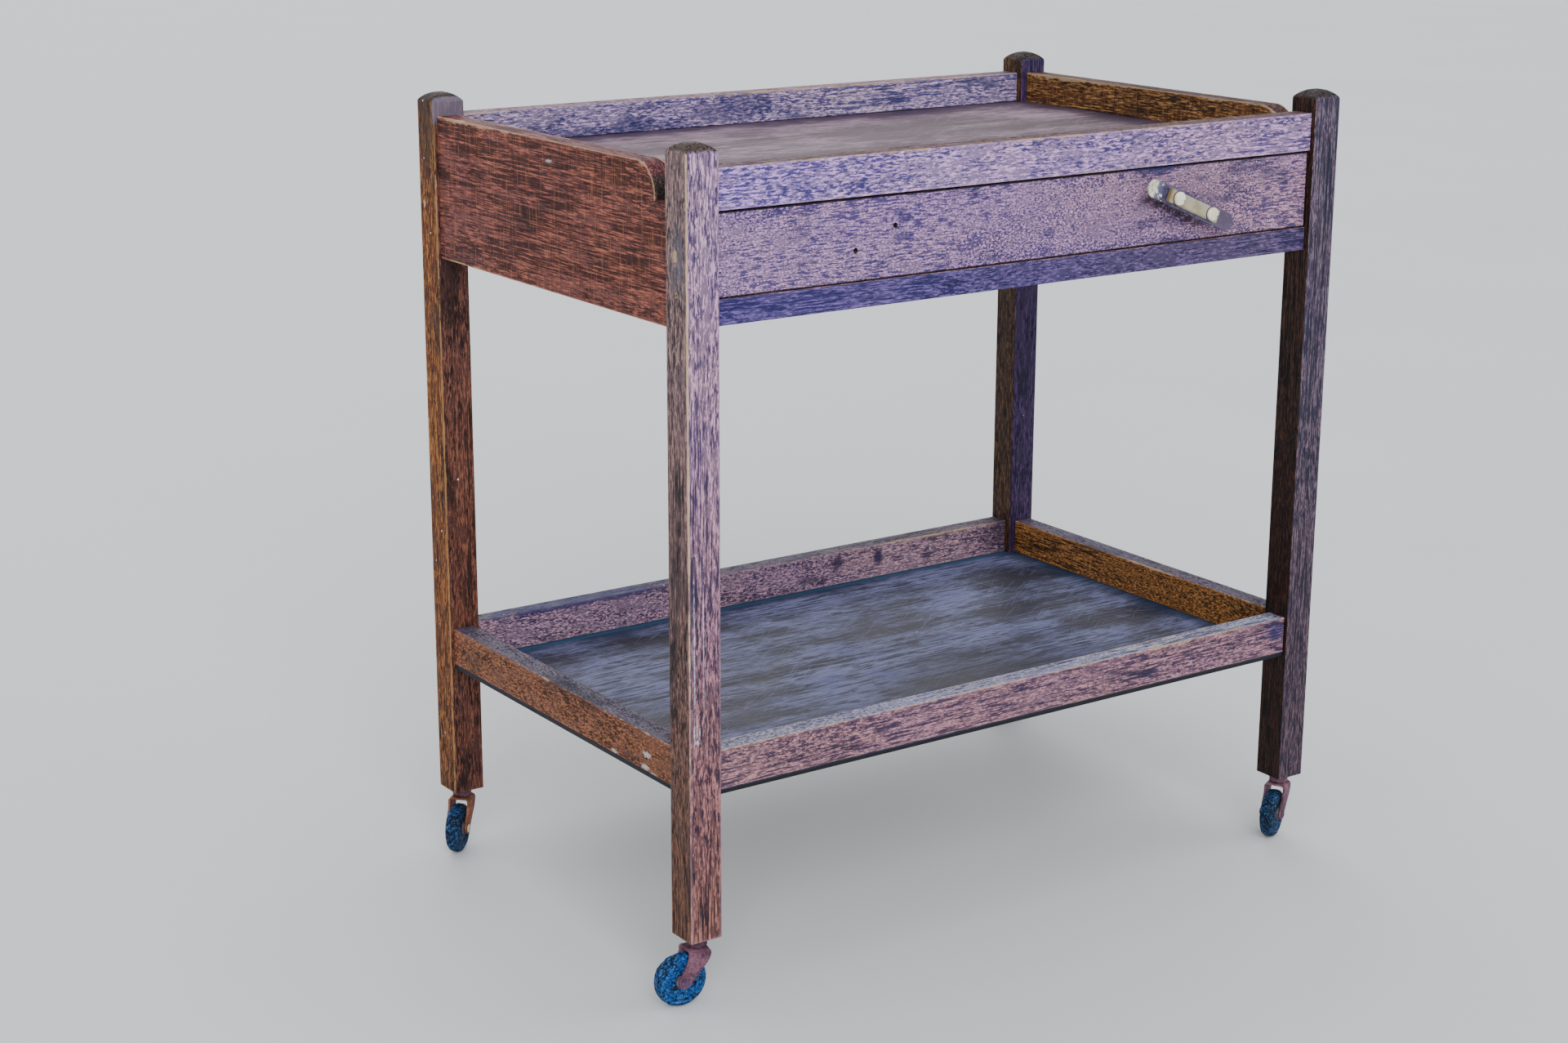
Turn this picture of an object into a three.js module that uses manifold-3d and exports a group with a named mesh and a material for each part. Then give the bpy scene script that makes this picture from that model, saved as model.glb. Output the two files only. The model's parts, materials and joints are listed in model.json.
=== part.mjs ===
// A wooden two-tier trolley used as a book cart: four square legs on swivel casters, a railed
// tray over one drawer, and a railed shelf below. Millimetres, +Z up. The drawer opens towards
// -Y. The origin is on the floor, at the centre of the cart's bounding box.
import * as THREE from "three";
import { mergeVertices } from "three/addons/utils/BufferGeometryUtils.js";
import Module from "manifold-3d";

const wasm = await Module();
wasm.setup();

// ---- Driving dimensions -------------------------------------------------------------------
const GAP = 0.3; // between pieces that are glued, nailed or screwed together
const OVERRUN = 5; // how far a cutting tool passes beyond what it cuts
const FAR = 100; // longer than any piece of a caster
const LENGTH = 740; // X, over the legs
const WIDTH = 468; // Y, over the legs
const LEG = 32; // side of a square leg
const LEG_FOOT = 62.5; // underside of a leg above the floor
const LEG_SHOULDER = 749; // where the square leg ends and its rounded top begins
const LEG_CROWN = 8; // rise of the rounded top
const TIMBER = 21; // thickness of rails and panels

const CASE_TOP = 736; // top edge of the tray's rails
const CASE_FOOT = 602.7; // bottom edge of the end panels and the back
const TOP_RAIL = 35.8; // height of the rail above the drawer
const LOW_RAIL = 22.3; // height of the rail below the drawer
const DRAWER_SILL = 626.9; // top of the rail below the drawer
const RAIL_IN = 4.4; // how far each piece stands in from the legs' outer faces
const LOW_RAIL_IN = 5.7;
const DRAWER_IN = 6.7;
const PANEL_IN = 3.5;
const SHELF_IN = 3.8;
const TRAY_TOP = 705.2; // surface of the upper tray
const TRAY_PLY = 4.6;
const HOUSING = 6; // depth of the groove that holds a board's edge
const RAIL_REBATE = 8; // how far the top rail is cut back under the tray board
const PANEL_CURVE = 28; // radius at the front top corner of an end panel
const PANEL_NOTCH = 21; // from that corner to the front leg
const PANEL_STEP = TRAY_TOP + 0.1; // top of the low part beside the front leg

const SHELF_RAIL = 36.2; // height of the shelf's rails
const SHELF_TOP = 198.3; // surface of the lower shelf
const SHELF_PLY = 4;

const DRAWER_FRONT = { width: 671.8, height: 70.7, thick: 18, foot: 628.1 };
const DRAWER_SIDE = { thick: 11, height: 62, length: 409, foot: 627.2, out: 334.6 };
const DRAWER_BACK = { thick: 10, height: 50, inset: 3 };
const DRAWER_PLY = { thick: 4, foot: 632 };
const RUNNER = { width: 23, height: 20.3 };
const GUIDE = { width: 7, height: 18 };

const PULL = { x: 174.6, z: 663.3, tilt: 23, pitch: 45.5 }; // screw pitch, slope in degrees
const PULL_POST = { radius: 4.5, length: 13.4 };
const PULL_STRAP = { pitch: 98.2, width: 17, thick: 1.5 };
const PULL_BAR = { length: 66, width: 12.8, thick: 5, round: 1.7 };
const PULL_CAP = { radius: 6.3, height: 4, bore: 2 }; // bore is the depth of its screw hole
const CAP_DOME = [[1, 0], [1, 0.4], [0.9, 0.72], [0.6, 0.94], [0, 1]]; // shares of both
const PULL_HOLE = 2.4; // radius
const SCREW = { radius: 2, head: 4.4, headHeight: 2.4, slot: 1, grip: 1.6 };

const WHEEL = { radius: 24.5, half: 7.4 };
const WHEEL_FACE = [
  // radius and step back from the widest part, out from the bore over the two moulded rings
  [7.3, 0.8], [14, 1.2], [15, 0], [16.6, 0], [17.6, 0.7], [20.6, 0.7], [23.2, 2.4],
  [WHEEL.radius, 5.6],
];
const HUB = { radius: 7, half: 8.1, bore: 3.3, flange: 1, chamfer: 1.4 };
const TRAIL = 16.9; // swivel axis to axle
const FORK = { inner: 17.6, sheet: 2, crown: 54, bend: 4 }; // gap for the wheel, metal, height
const ARM = {
  // one arm of the fork from the side: x along the trail, z above the floor
  crown: [-6.5, 12.2],
  front: [[-9, 50, -9.6, 49, -8, 45], [-6, 40, -2, 37, 1, 33.5]],
  toEnd: [TRAIL - 4.2, WHEEL.radius - 3.7],
  end: { radius: 5.6, from: -2.42, to: 0.32 },
  back: [18.5, 35, 14, 40, 12.6, 47],
};
const AXLE = { radius: 3, head: 4.3, dome: 1.5 };
const AXLE_DOME = [[1, 0], [0.85, 0.7], [0.45, 1], [0, 1]]; // shares of the head and the dome
const SOCKET = {
  flange: 10.6, flangeHeight: 3.4, chamfer: 0.8, sleeve: 5.7, bore: 4.5, depth: 34, room: 2,
};
const STEM = { collar: 9.2, rivet: 4.6, washer: 6.2, washerHeight: 1.2, point: 1.4 };
const CASTERS = [
  // side of the cart in X and Y, and the way the wheel trails, in degrees from +X
  { name: "caster_fl", x: -1, y: -1, yaw: 174 },
  { name: "caster_fr", x: 1, y: -1, yaw: 208 },
  { name: "caster_rl", x: -1, y: 1, yaw: 224 },
  { name: "caster_rr", x: 1, y: 1, yaw: 197 },
];

// ---- Colours ------------------------------------------------------------------------------
const COLOURS = {
  leg: [0x5b3a2c, 0.62],
  rail: [0x6a4a44, 0.6],
  panel: [0x5e2f20, 0.55],
  tray: [0x5a4346, 0.45],
  shelf: [0x35302f, 0.55],
  drawer: [0x6b4c48, 0.6],
  raw: [0x8a6a4c, 0.8],
  chrome: [0xb9b8b4, 0.3],
  cream: [0xd9cfa6, 0.45],
  rust: [0x6b4638, 0.75],
  rubber: [0x1f2a3a, 0.8],
};
const METALS = ["chrome", "rust"];

// ---- Geometry helpers ---------------------------------------------------------------------
const X = new THREE.Vector3(1, 0, 0);
const Y = new THREE.Vector3(0, 1, 0);
const Z = new THREE.Vector3(0, 0, 1);
const ALONG_X = new THREE.Matrix4().makeBasis(Y, Z, X); // an outline drawn in Y and Z
const ALONG_Y = new THREE.Matrix4().makeBasis(X, Z, Y.clone().negate()); // drawn in X and Z
const ALONG_Z = new THREE.Matrix4();

const block = (x0, x1, y0, y1, z0, z1) =>
  new THREE.BoxGeometry(x1 - x0, y1 - y0, z1 - z0).translate(
    (x0 + x1) / 2,
    (y0 + y1) / 2,
    (z0 + z1) / 2,
  );

const outline = (points) => new THREE.Shape(points.map(([a, b]) => new THREE.Vector2(a, b)));

const extrude = (shape, from, to, along, curveSegments = 10) =>
  new THREE.ExtrudeGeometry(shape, { depth: to - from, bevelEnabled: false, curveSegments })
    .translate(0, 0, from)
    .applyMatrix4(along);

// A turned piece about Z from a profile of [radius, z], listed from bottom to top.
const turned = (profile, segments = 20, start = 0) =>
  new THREE.LatheGeometry(
    profile.map(([r, z]) => new THREE.Vector2(r, z)),
    segments,
    start,
  ).rotateX(Math.PI / 2);

const rod = (radius, z0, z1, x = 0, y = 0, segments = 20) =>
  turned([[0, z0], [radius, z0], [radius, z1], [0, z1]], segments).translate(x, y, 0);

function toSolid(geometry) {
  const bare = geometry.clone().deleteAttribute("normal").deleteAttribute("uv");
  const merged = mergeVertices(bare, 1e-4);
  return new wasm.Manifold(
    new wasm.Mesh({
      numProp: 3,
      vertProperties: merged.attributes.position.array,
      triVerts: Uint32Array.from(merged.index.array),
    }),
  );
}

function toGeometry(solid) {
  const mesh = solid.getMesh();
  return new THREE.BufferGeometry()
    .setAttribute("position", new THREE.BufferAttribute(mesh.vertProperties, 3))
    .setIndex(new THREE.BufferAttribute(mesh.triVerts, 1));
}

const cut = (geometry, ...tools) =>
  toGeometry(tools.reduce((solid, tool) => solid.subtract(toSolid(tool)), toSolid(geometry)));

const common = (a, b) => toGeometry(toSolid(a).intersect(toSolid(b)));

function add(parent, name, geometry, colour) {
  const [color, roughness] = COLOURS[colour];
  const metalness = METALS.includes(colour) ? 0.8 : 0;
  const material = new THREE.MeshStandardMaterial({ color, roughness, metalness });
  const flat = geometry.index ? geometry.toNonIndexed() : geometry;
  flat.computeVertexNormals();
  const mesh = new THREE.Mesh(flat, material);
  mesh.name = name;
  parent.add(mesh);
}

// ---- Derived positions --------------------------------------------------------------------
const halfX = LENGTH / 2;
const halfY = WIDTH / 2;
const clearX = halfX - LEG - GAP; // ends of the pieces between two legs
const clearY = halfY - LEG - GAP;
const panelIn = halfX - PANEL_IN - TIMBER; // inner face of an end panel
const backIn = halfY - RAIL_IN - TIMBER; // inner face of the back
const legX = halfX - LEG / 2;
const legY = halfY - LEG / 2;
const trayFoot = TRAY_TOP - TRAY_PLY;
const grooveTop = TRAY_TOP + GAP;
const drawerFace = -(halfY - DRAWER_IN);
const drawerInner = drawerFace + DRAWER_FRONT.thick;

const cart = new THREE.Group();

// ---- Legs ---------------------------------------------------------------------------------
function leg() {
  const half = LEG / 2;
  const arcRadius = (half ** 2 + LEG_CROWN ** 2) / (2 * LEG_CROWN);
  const steps = 7;
  const edge = Math.asin(half / arcRadius);
  const crown = [];
  for (let i = 1; i < steps; i++) {
    const angle = edge * (1 - i / steps);
    const rise = arcRadius * (Math.cos(angle) - Math.cos(edge));
    crown.push([arcRadius * Math.sin(angle), LEG_SHOULDER + rise]);
  }
  const profile = [
    [0, LEG_FOOT],
    [half, LEG_FOOT],
    [half, LEG_SHOULDER],
    ...crown,
    [0, LEG_SHOULDER + LEG_CROWN],
  ];
  const corner = profile.map(([r, z]) => [r * Math.SQRT2, z]);
  const socketHole = rod(
    SOCKET.sleeve + GAP, LEG_FOOT - OVERRUN, LEG_FOOT + SOCKET.depth + SOCKET.room,
  );
  return cut(turned(corner, 4, Math.PI / 4), socketHole);
}
for (const { name, x, y } of CASTERS) {
  add(cart, name.replace("caster", "leg"), leg().translate(x * legX, y * legY, 0), "leg");
}

// ---- Case: rails, end panels and back -----------------------------------------------------
const railFront = -(halfY - RAIL_IN);
const railRebate = railFront + TIMBER - RAIL_REBATE;
const topRail = outline([
  [railFront, CASE_TOP],
  [railFront, CASE_TOP - TOP_RAIL],
  [railRebate, CASE_TOP - TOP_RAIL],
  [railRebate, grooveTop],
  [railFront + TIMBER, grooveTop],
  [railFront + TIMBER, CASE_TOP],
]);
add(cart, "top_rail", extrude(topRail, -clearX, clearX, ALONG_X), "rail");

const lowRailFront = -(halfY - LOW_RAIL_IN);
const drawerRail = block(
  -clearX, clearX, lowRailFront, lowRailFront + TIMBER, DRAWER_SILL - LOW_RAIL, DRAWER_SILL,
);
add(cart, "drawer_rail", drawerRail, "rail");

const backBoard = block(-clearX, clearX, backIn, backIn + TIMBER, CASE_FOOT, CASE_TOP);
const backGroove = block(
  -halfX, halfX, backIn - OVERRUN, backIn + HOUSING, trayFoot - GAP, grooveTop,
);
add(cart, "back_board", cut(backBoard, backGroove), "rail");

function endPanel() {
  const notch = -clearY + PANEL_NOTCH;
  const shape = new THREE.Shape();
  shape.moveTo(-clearY, CASE_FOOT);
  shape.lineTo(clearY, CASE_FOOT);
  shape.lineTo(clearY, CASE_TOP);
  shape.lineTo(notch + PANEL_CURVE, CASE_TOP);
  shape.absarc(
    notch + PANEL_CURVE, CASE_TOP - PANEL_CURVE, PANEL_CURVE, Math.PI / 2, Math.PI, false,
  );
  shape.lineTo(notch, PANEL_STEP);
  shape.lineTo(-clearY, PANEL_STEP);
  const panel = extrude(shape, panelIn, panelIn + TIMBER, ALONG_X);
  const groove = block(
    panelIn - OVERRUN, panelIn + HOUSING, -halfY, halfY, trayFoot - GAP, grooveTop,
  );
  return cut(panel, groove);
}
const panel = endPanel();
const mirrorX = (geometry) => toGeometry(toSolid(geometry).mirror([1, 0, 0]));
add(cart, "end_panel_right", panel, "panel");
add(cart, "end_panel_left", mirrorX(panel), "panel");

// A board whose corners are notched round the legs.
const notchedBoard = (x, y, z0, z1) =>
  extrude(
    outline([
      [-clearX, -y], [clearX, -y], [clearX, -clearY], [x, -clearY],
      [x, clearY], [clearX, clearY], [clearX, y], [-clearX, y],
      [-clearX, clearY], [-x, clearY], [-x, -clearY], [-clearX, -clearY],
    ]),
    z0,
    z1,
    ALONG_Z,
  );
const trayX = panelIn + HOUSING - GAP;
const trayY = backIn + HOUSING - GAP;
add(cart, "tray_board", notchedBoard(trayX, trayY, trayFoot, TRAY_TOP), "tray");

for (const [side, name] of [[-1, "left"], [1, "right"]]) {
  const wall = panelIn - GAP;
  const runner = block(
    wall - RUNNER.width, wall, -clearY, clearY, DRAWER_SILL - RUNNER.height, DRAWER_SILL,
  );
  const guideFoot = DRAWER_SILL + GAP;
  const guide = block(
    wall - GUIDE.width, wall, -clearY, clearY, guideFoot, guideFoot + GUIDE.height,
  );
  add(cart, `drawer_runner_${name}`, side > 0 ? runner : mirrorX(runner), "raw");
  add(cart, `drawer_guide_${name}`, side > 0 ? guide : mirrorX(guide), "raw");
}

// ---- Lower shelf --------------------------------------------------------------------------
const shelfFoot = SHELF_TOP + GAP;
const shelfX = halfX - SHELF_IN;
const shelfY = halfY - SHELF_IN;
const longRail = block(-clearX, clearX, shelfY - TIMBER, shelfY, shelfFoot, shelfFoot + SHELF_RAIL);
const endRail = block(shelfX - TIMBER, shelfX, -clearY, clearY, shelfFoot, shelfFoot + SHELF_RAIL);
add(cart, "shelf_rail_back", longRail, "rail");
add(cart, "shelf_rail_front", longRail.clone().rotateZ(Math.PI), "rail");
add(cart, "shelf_rail_right", endRail, "rail");
add(cart, "shelf_rail_left", endRail.clone().rotateZ(Math.PI), "rail");
add(cart, "shelf_board", notchedBoard(shelfX, shelfY, SHELF_TOP - SHELF_PLY, SHELF_TOP), "shelf");

// ---- Drawer -------------------------------------------------------------------------------
const slope = THREE.MathUtils.degToRad(PULL.tilt);
const screwHoles = [];
for (const side of [-1, 1]) {
  for (const end of [-1, 1]) {
    const x = side * (PULL.x + (end * PULL.pitch * Math.cos(slope)) / 2);
    const z = PULL.z - (end * PULL.pitch * Math.sin(slope)) / 2;
    const bore = rod(PULL_HOLE, -OVERRUN, DRAWER_FRONT.thick + OVERRUN);
    screwHoles.push(bore.rotateX(Math.PI / 2).translate(x, drawerInner, z));
  }
}
const grooveFoot = DRAWER_PLY.foot - GAP;
const grooveHead = DRAWER_PLY.foot + DRAWER_PLY.thick + GAP;
const frontHalf = DRAWER_FRONT.width / 2;
const drawerFront = block(
  -frontHalf, frontHalf, drawerFace, drawerInner,
  DRAWER_FRONT.foot, DRAWER_FRONT.foot + DRAWER_FRONT.height,
);
const sideIn = DRAWER_SIDE.out - DRAWER_SIDE.thick;
const frontGroove = block(
  -sideIn - HOUSING, sideIn + HOUSING, drawerInner - HOUSING, drawerInner + OVERRUN,
  grooveFoot, grooveHead,
);
add(cart, "drawer_front", cut(drawerFront, frontGroove, ...screwHoles), "drawer");

const sideFront = drawerInner + GAP;
const sideBack = sideFront + DRAWER_SIDE.length;
const drawerSide = cut(
  block(
    sideIn, DRAWER_SIDE.out, sideFront, sideBack,
    DRAWER_SIDE.foot, DRAWER_SIDE.foot + DRAWER_SIDE.height,
  ),
  block(
    sideIn - OVERRUN, sideIn + HOUSING, sideFront - OVERRUN, sideBack + OVERRUN,
    grooveFoot, grooveHead,
  ),
);
add(cart, "drawer_side_right", drawerSide, "raw");
add(cart, "drawer_side_left", mirrorX(drawerSide), "raw");

const backFace = sideBack - DRAWER_BACK.inset;
const drawerBack = block(
  -sideIn + GAP, sideIn - GAP, backFace - DRAWER_BACK.thick, backFace,
  grooveHead, grooveHead + DRAWER_BACK.height,
);
add(cart, "drawer_back", drawerBack, "raw");
const bottomX = sideIn + HOUSING - GAP;
const drawerBottom = block(
  -bottomX, bottomX, drawerInner - HOUSING + GAP, backFace,
  DRAWER_PLY.foot, DRAWER_PLY.foot + DRAWER_PLY.thick,
);
add(cart, "drawer_bottom", drawerBottom, "raw");

// ---- Drawer pull: built facing +Z, then turned to face -Y ---------------------------------
const stadium = (pitch, width) => {
  const shape = new THREE.Shape();
  shape.absarc(pitch / 2, 0, width / 2, -Math.PI / 2, Math.PI / 2, false);
  shape.absarc(-pitch / 2, 0, width / 2, Math.PI / 2, (3 * Math.PI) / 2, false);
  return shape;
};
const pull = new THREE.Group();
pull.rotation.set(Math.PI / 2, 0, 0);
pull.position.set(PULL.x, drawerFace, PULL.z);
const tilted = new THREE.Group();
tilted.rotation.z = -slope;
pull.add(tilted);
cart.add(pull);

const strapBack = PULL_POST.length + 2 * GAP;
const barBack = strapBack + PULL_STRAP.thick + GAP;
const capBack = barBack + PULL_BAR.thick + GAP;
const pullBores = [-1, 1].map((end) =>
  rod(PULL_HOLE, -OVERRUN, capBack + OVERRUN, (end * PULL.pitch) / 2),
);
const strap = extrude(
  stadium(PULL_STRAP.pitch, PULL_STRAP.width), strapBack, strapBack + PULL_STRAP.thick, ALONG_Z,
);
add(tilted, "pull_strap", cut(strap, ...pullBores), "chrome");

// The bar is rounded along its two long front edges.
const barHalf = PULL_BAR.width / 2;
const barRound = { x: barHalf - PULL_BAR.round, z: barBack + PULL_BAR.thick - PULL_BAR.round };
const barSection = new THREE.Shape();
barSection.moveTo(-barHalf, barBack);
barSection.lineTo(barHalf, barBack);
barSection.absarc(barRound.x, barRound.z, PULL_BAR.round, 0, Math.PI / 2, false);
barSection.absarc(-barRound.x, barRound.z, PULL_BAR.round, Math.PI / 2, Math.PI, false);
const bar = extrude(barSection, -PULL_BAR.length / 2, PULL_BAR.length / 2, ALONG_X, 3);
add(tilted, "pull_bar", cut(bar, ...pullBores), "cream");

// The post between the drawer and the strap.
const postProfile = [
  [PULL_HOLE, 0],
  [PULL_POST.radius, 0],
  [PULL_POST.radius, PULL_POST.length],
  [PULL_HOLE, PULL_POST.length],
  [PULL_HOLE, 0],
];

// The cap, hollow for the screw's end.
const capProfile = [
  [0, PULL_CAP.bore],
  [PULL_HOLE, PULL_CAP.bore],
  [PULL_HOLE, 0],
  ...CAP_DOME.map(([r, z]) => [r * PULL_CAP.radius, z * PULL_CAP.height]),
];

// The screw's head bears on the drawer front's back.
function pullScrew() {
  const seat = -DRAWER_FRONT.thick - GAP;
  const { radius, head, headHeight, slot, grip } = SCREW;
  const profile = [
    [0, seat - headHeight],
    [head * 0.8, seat - headHeight],
    [head, seat - headHeight / 2],
    [head, seat],
    [radius, seat],
    [radius, capBack + grip],
    [0, capBack + grip],
  ];
  const slotTop = seat - headHeight + slot;
  return cut(
    turned(profile),
    block(-2 * head, 2 * head, -slot / 2, slot / 2, slotTop - slot - OVERRUN, slotTop),
  );
}

[-1, 1].forEach((end, i) => {
  const x = (end * PULL.pitch) / 2;
  add(tilted, `pull_cap_${i + 1}`, turned(capProfile).translate(x, 0, capBack), "cream");
  add(tilted, `pull_post_${i + 1}`, turned(postProfile).translate(x, 0, GAP), "chrome");
  add(tilted, `pull_screw_${i + 1}`, pullScrew().translate(x, 0, 0), "rust");
});

// ---- Casters: each trails along its own +X ------------------------------------------------
// The folded sheet seen from the front: a crown with an arm down each side.
function forkSection() {
  const { inner, sheet, crown, bend } = FORK;
  const outer = inner / 2 + sheet;
  const bendX = outer - bend;
  const bendZ = crown - bend;
  const down = Math.PI;
  const up = Math.PI / 2;
  const section = new THREE.Shape();
  section.moveTo(-outer, 0);
  section.lineTo(-inner / 2, 0);
  section.lineTo(-inner / 2, bendZ);
  section.absarc(-bendX, bendZ, bend - sheet, down, up, true);
  section.absarc(bendX, bendZ, bend - sheet, up, 0, true);
  section.lineTo(inner / 2, 0);
  section.lineTo(outer, 0);
  section.lineTo(outer, bendZ);
  section.absarc(bendX, bendZ, bend, 0, up, false);
  section.absarc(-bendX, bendZ, bend, up, down, false);
  return section;
}

// The arm seen from the side: broad at the crown, swept back to a round end at the axle.
function forkSide() {
  const above = FORK.crown + OVERRUN;
  const { radius, from, to } = ARM.end;
  const side = new THREE.Shape();
  side.moveTo(ARM.crown[0], above);
  side.lineTo(ARM.crown[0], FORK.crown);
  for (const curve of ARM.front) side.bezierCurveTo(...curve);
  side.lineTo(...ARM.toEnd);
  side.absarc(TRAIL, WHEEL.radius, radius, from, to, false);
  side.bezierCurveTo(...ARM.back);
  side.lineTo(ARM.crown[1], above);
  return side;
}

function forkGeometry() {
  const swept = common(
    extrude(forkSection(), -FAR, FAR, ALONG_X, 3),
    extrude(forkSide(), -FAR, FAR, ALONG_Y, 5),
  );
  const axleHole = aboutAxle([
    [0, -FAR],
    [AXLE.radius + GAP, -FAR],
    [AXLE.radius + GAP, FAR],
    [0, FAR],
  ]);
  const stemHole = rod(SOCKET.bore, FORK.crown - FORK.bend - OVERRUN, FORK.crown + OVERRUN);
  return cut(swept, axleHole, stemHole);
}

function socketGeometry() {
  const { flange, flangeHeight, chamfer, sleeve, bore, depth } = SOCKET;
  const top = LEG_FOOT - GAP;
  return turned([
    [bore, top - flangeHeight],
    [flange - chamfer, top - flangeHeight],
    [flange, top - flangeHeight + chamfer],
    [flange, top],
    [sleeve, top],
    [sleeve, top + depth],
    [bore, top + depth],
    [bore, top - flangeHeight],
  ]);
}

function stemGeometry() {
  const { collar, rivet, washer, washerHeight, point } = STEM;
  const radius = SOCKET.bore - GAP;
  const under = FORK.crown - FORK.sheet - GAP;
  const above = FORK.crown + GAP;
  const collarTop = LEG_FOOT - SOCKET.flangeHeight - 2 * GAP;
  const end = LEG_FOOT + SOCKET.depth - SOCKET.room;
  return turned([
    [0, under - 2 * washerHeight],
    [rivet, under - 2 * washerHeight],
    [washer, under - washerHeight],
    [washer, under],
    [radius, under],
    [radius, above],
    [collar, above],
    [collar, collarTop],
    [radius, collarTop],
    [radius, end - point],
    [radius - point, end],
    [0, end],
  ]);
}

// Pieces turned about the axle: profiles of [radius, distance along the axle].
function aboutAxle(profile, segments) {
  return turned(profile, segments).rotateX(Math.PI / 2).translate(TRAIL, 0, WHEEL.radius);
}

function axleGeometry() {
  const reach = FORK.inner / 2 + FORK.sheet + GAP;
  const { radius, head, dome } = AXLE;
  const half = [
    [radius, reach],
    ...AXLE_DOME.map(([r, v]) => [r * head, reach + v * dome]),
  ];
  return aboutAxle([...half.map(([r, v]) => [r, -v]).reverse(), ...half]);
}

function hubGeometry() {
  const { radius, half, bore, flange, chamfer } = HUB;
  return aboutAxle([
    [bore, -half],
    [radius - chamfer, -half],
    [radius, -half + flange],
    [radius, half - flange],
    [radius - chamfer, half],
    [bore, half],
    [bore, -half],
  ]);
}

function tyreGeometry() {
  const face = WHEEL_FACE.map(([r, step]) => [r, WHEEL.half - step]);
  const lower = face.map(([r, v]) => [r, -v]);
  return aboutAxle([...lower, ...face.reverse(), lower[0]], 32);
}

for (const { name, x, y, yaw } of CASTERS) {
  const caster = new THREE.Group();
  caster.position.set(x * legX, y * legY, 0);
  caster.rotation.z = THREE.MathUtils.degToRad(yaw);
  add(caster, `${name}_socket`, socketGeometry(), "rust");
  add(caster, `${name}_stem`, stemGeometry(), "rust");
  add(caster, `${name}_fork`, forkGeometry(), "rust");
  add(caster, `${name}_axle`, axleGeometry(), "rust");
  add(caster, `${name}_hub`, hubGeometry(), "rust");
  add(caster, `${name}_tyre`, tyreGeometry(), "rubber");
  cart.add(caster);
}

// ---- Stand the cart on the floor, centred on the origin -----------------------------------
cart.updateMatrixWorld(true);
const bounds = new THREE.Box3().setFromObject(cart, true);
const centre = bounds.getCenter(new THREE.Vector3());
cart.position.set(-centre.x, -centre.y, -bounds.min.z);

const part = new THREE.Group();
part.name = "book_cart";
part.add(cart);
export default part;
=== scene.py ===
import json
import math

import bmesh
import bpy
from mathutils import Matrix, Vector, noise

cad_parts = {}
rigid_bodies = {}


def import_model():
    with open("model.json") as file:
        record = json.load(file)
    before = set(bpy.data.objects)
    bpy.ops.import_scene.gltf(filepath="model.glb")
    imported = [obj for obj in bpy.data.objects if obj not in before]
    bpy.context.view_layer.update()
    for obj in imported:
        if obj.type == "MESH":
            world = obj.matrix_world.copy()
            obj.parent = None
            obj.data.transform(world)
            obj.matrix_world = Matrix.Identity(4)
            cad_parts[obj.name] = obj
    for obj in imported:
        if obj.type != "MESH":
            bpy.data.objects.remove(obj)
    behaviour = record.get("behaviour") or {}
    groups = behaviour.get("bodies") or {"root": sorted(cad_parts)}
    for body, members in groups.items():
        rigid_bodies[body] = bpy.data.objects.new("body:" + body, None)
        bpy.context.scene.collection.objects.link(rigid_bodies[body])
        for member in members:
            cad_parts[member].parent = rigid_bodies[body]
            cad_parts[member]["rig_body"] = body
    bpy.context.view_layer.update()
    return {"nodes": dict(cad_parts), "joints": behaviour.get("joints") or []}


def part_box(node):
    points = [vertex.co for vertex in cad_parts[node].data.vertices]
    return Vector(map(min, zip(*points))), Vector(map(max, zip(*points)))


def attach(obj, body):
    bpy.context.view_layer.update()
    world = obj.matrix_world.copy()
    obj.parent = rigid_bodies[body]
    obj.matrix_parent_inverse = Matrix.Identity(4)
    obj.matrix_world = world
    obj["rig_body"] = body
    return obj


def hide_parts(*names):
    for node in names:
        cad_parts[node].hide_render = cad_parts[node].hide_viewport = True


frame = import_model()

# The looks of an old wooden book cart: a dark stained and much worn two-tier trolley. Metres, in
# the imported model's frame: +Z up, the drawer opens towards -Y.
CORNERS = ("fl", "fr", "rl", "rr")
JOINTS = {joint["name"]: joint for joint in frame["joints"]}

# ---- Camera --------------------------------------------
CAMERA_PLACE = (-1.5010, -2.0178, 1.0342)
CAMERA_YAW = 0.6052  # from +Y towards +X, radians
CAMERA_PITCH = 0.2704  # below the horizon
CAMERA_ROLL = 0.0027
CAMERA_LENS = 60.98  # millimetres, on a 36 mm sensor


def make_camera():
    data = bpy.data.cameras.new("camera")
    data.sensor_width = 36
    data.lens = CAMERA_LENS
    camera = bpy.data.objects.new("camera", data)
    turn = (
        Matrix.Rotation(-CAMERA_YAW, 4, "Z")
        @ Matrix.Rotation(math.pi / 2 - CAMERA_PITCH, 4, "X")
        @ Matrix.Rotation(CAMERA_ROLL, 4, "Z")
    )
    camera.matrix_world = Matrix.Translation(CAMERA_PLACE) @ turn
    bpy.context.scene.collection.objects.link(camera)
    bpy.context.scene.camera = camera


# ---- Shader graphs -------------------------------------
def ink(code):
    """An sRGB colour such as 0xC08040 as linear RGBA."""
    parts = [(code >> shift & 255) / 255 for shift in (16, 8, 0)]
    return tuple(p / 12.92 if p < 0.04045 else ((p + 0.055) / 1.055) ** 2.4 for p in parts) + (1,)


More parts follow.
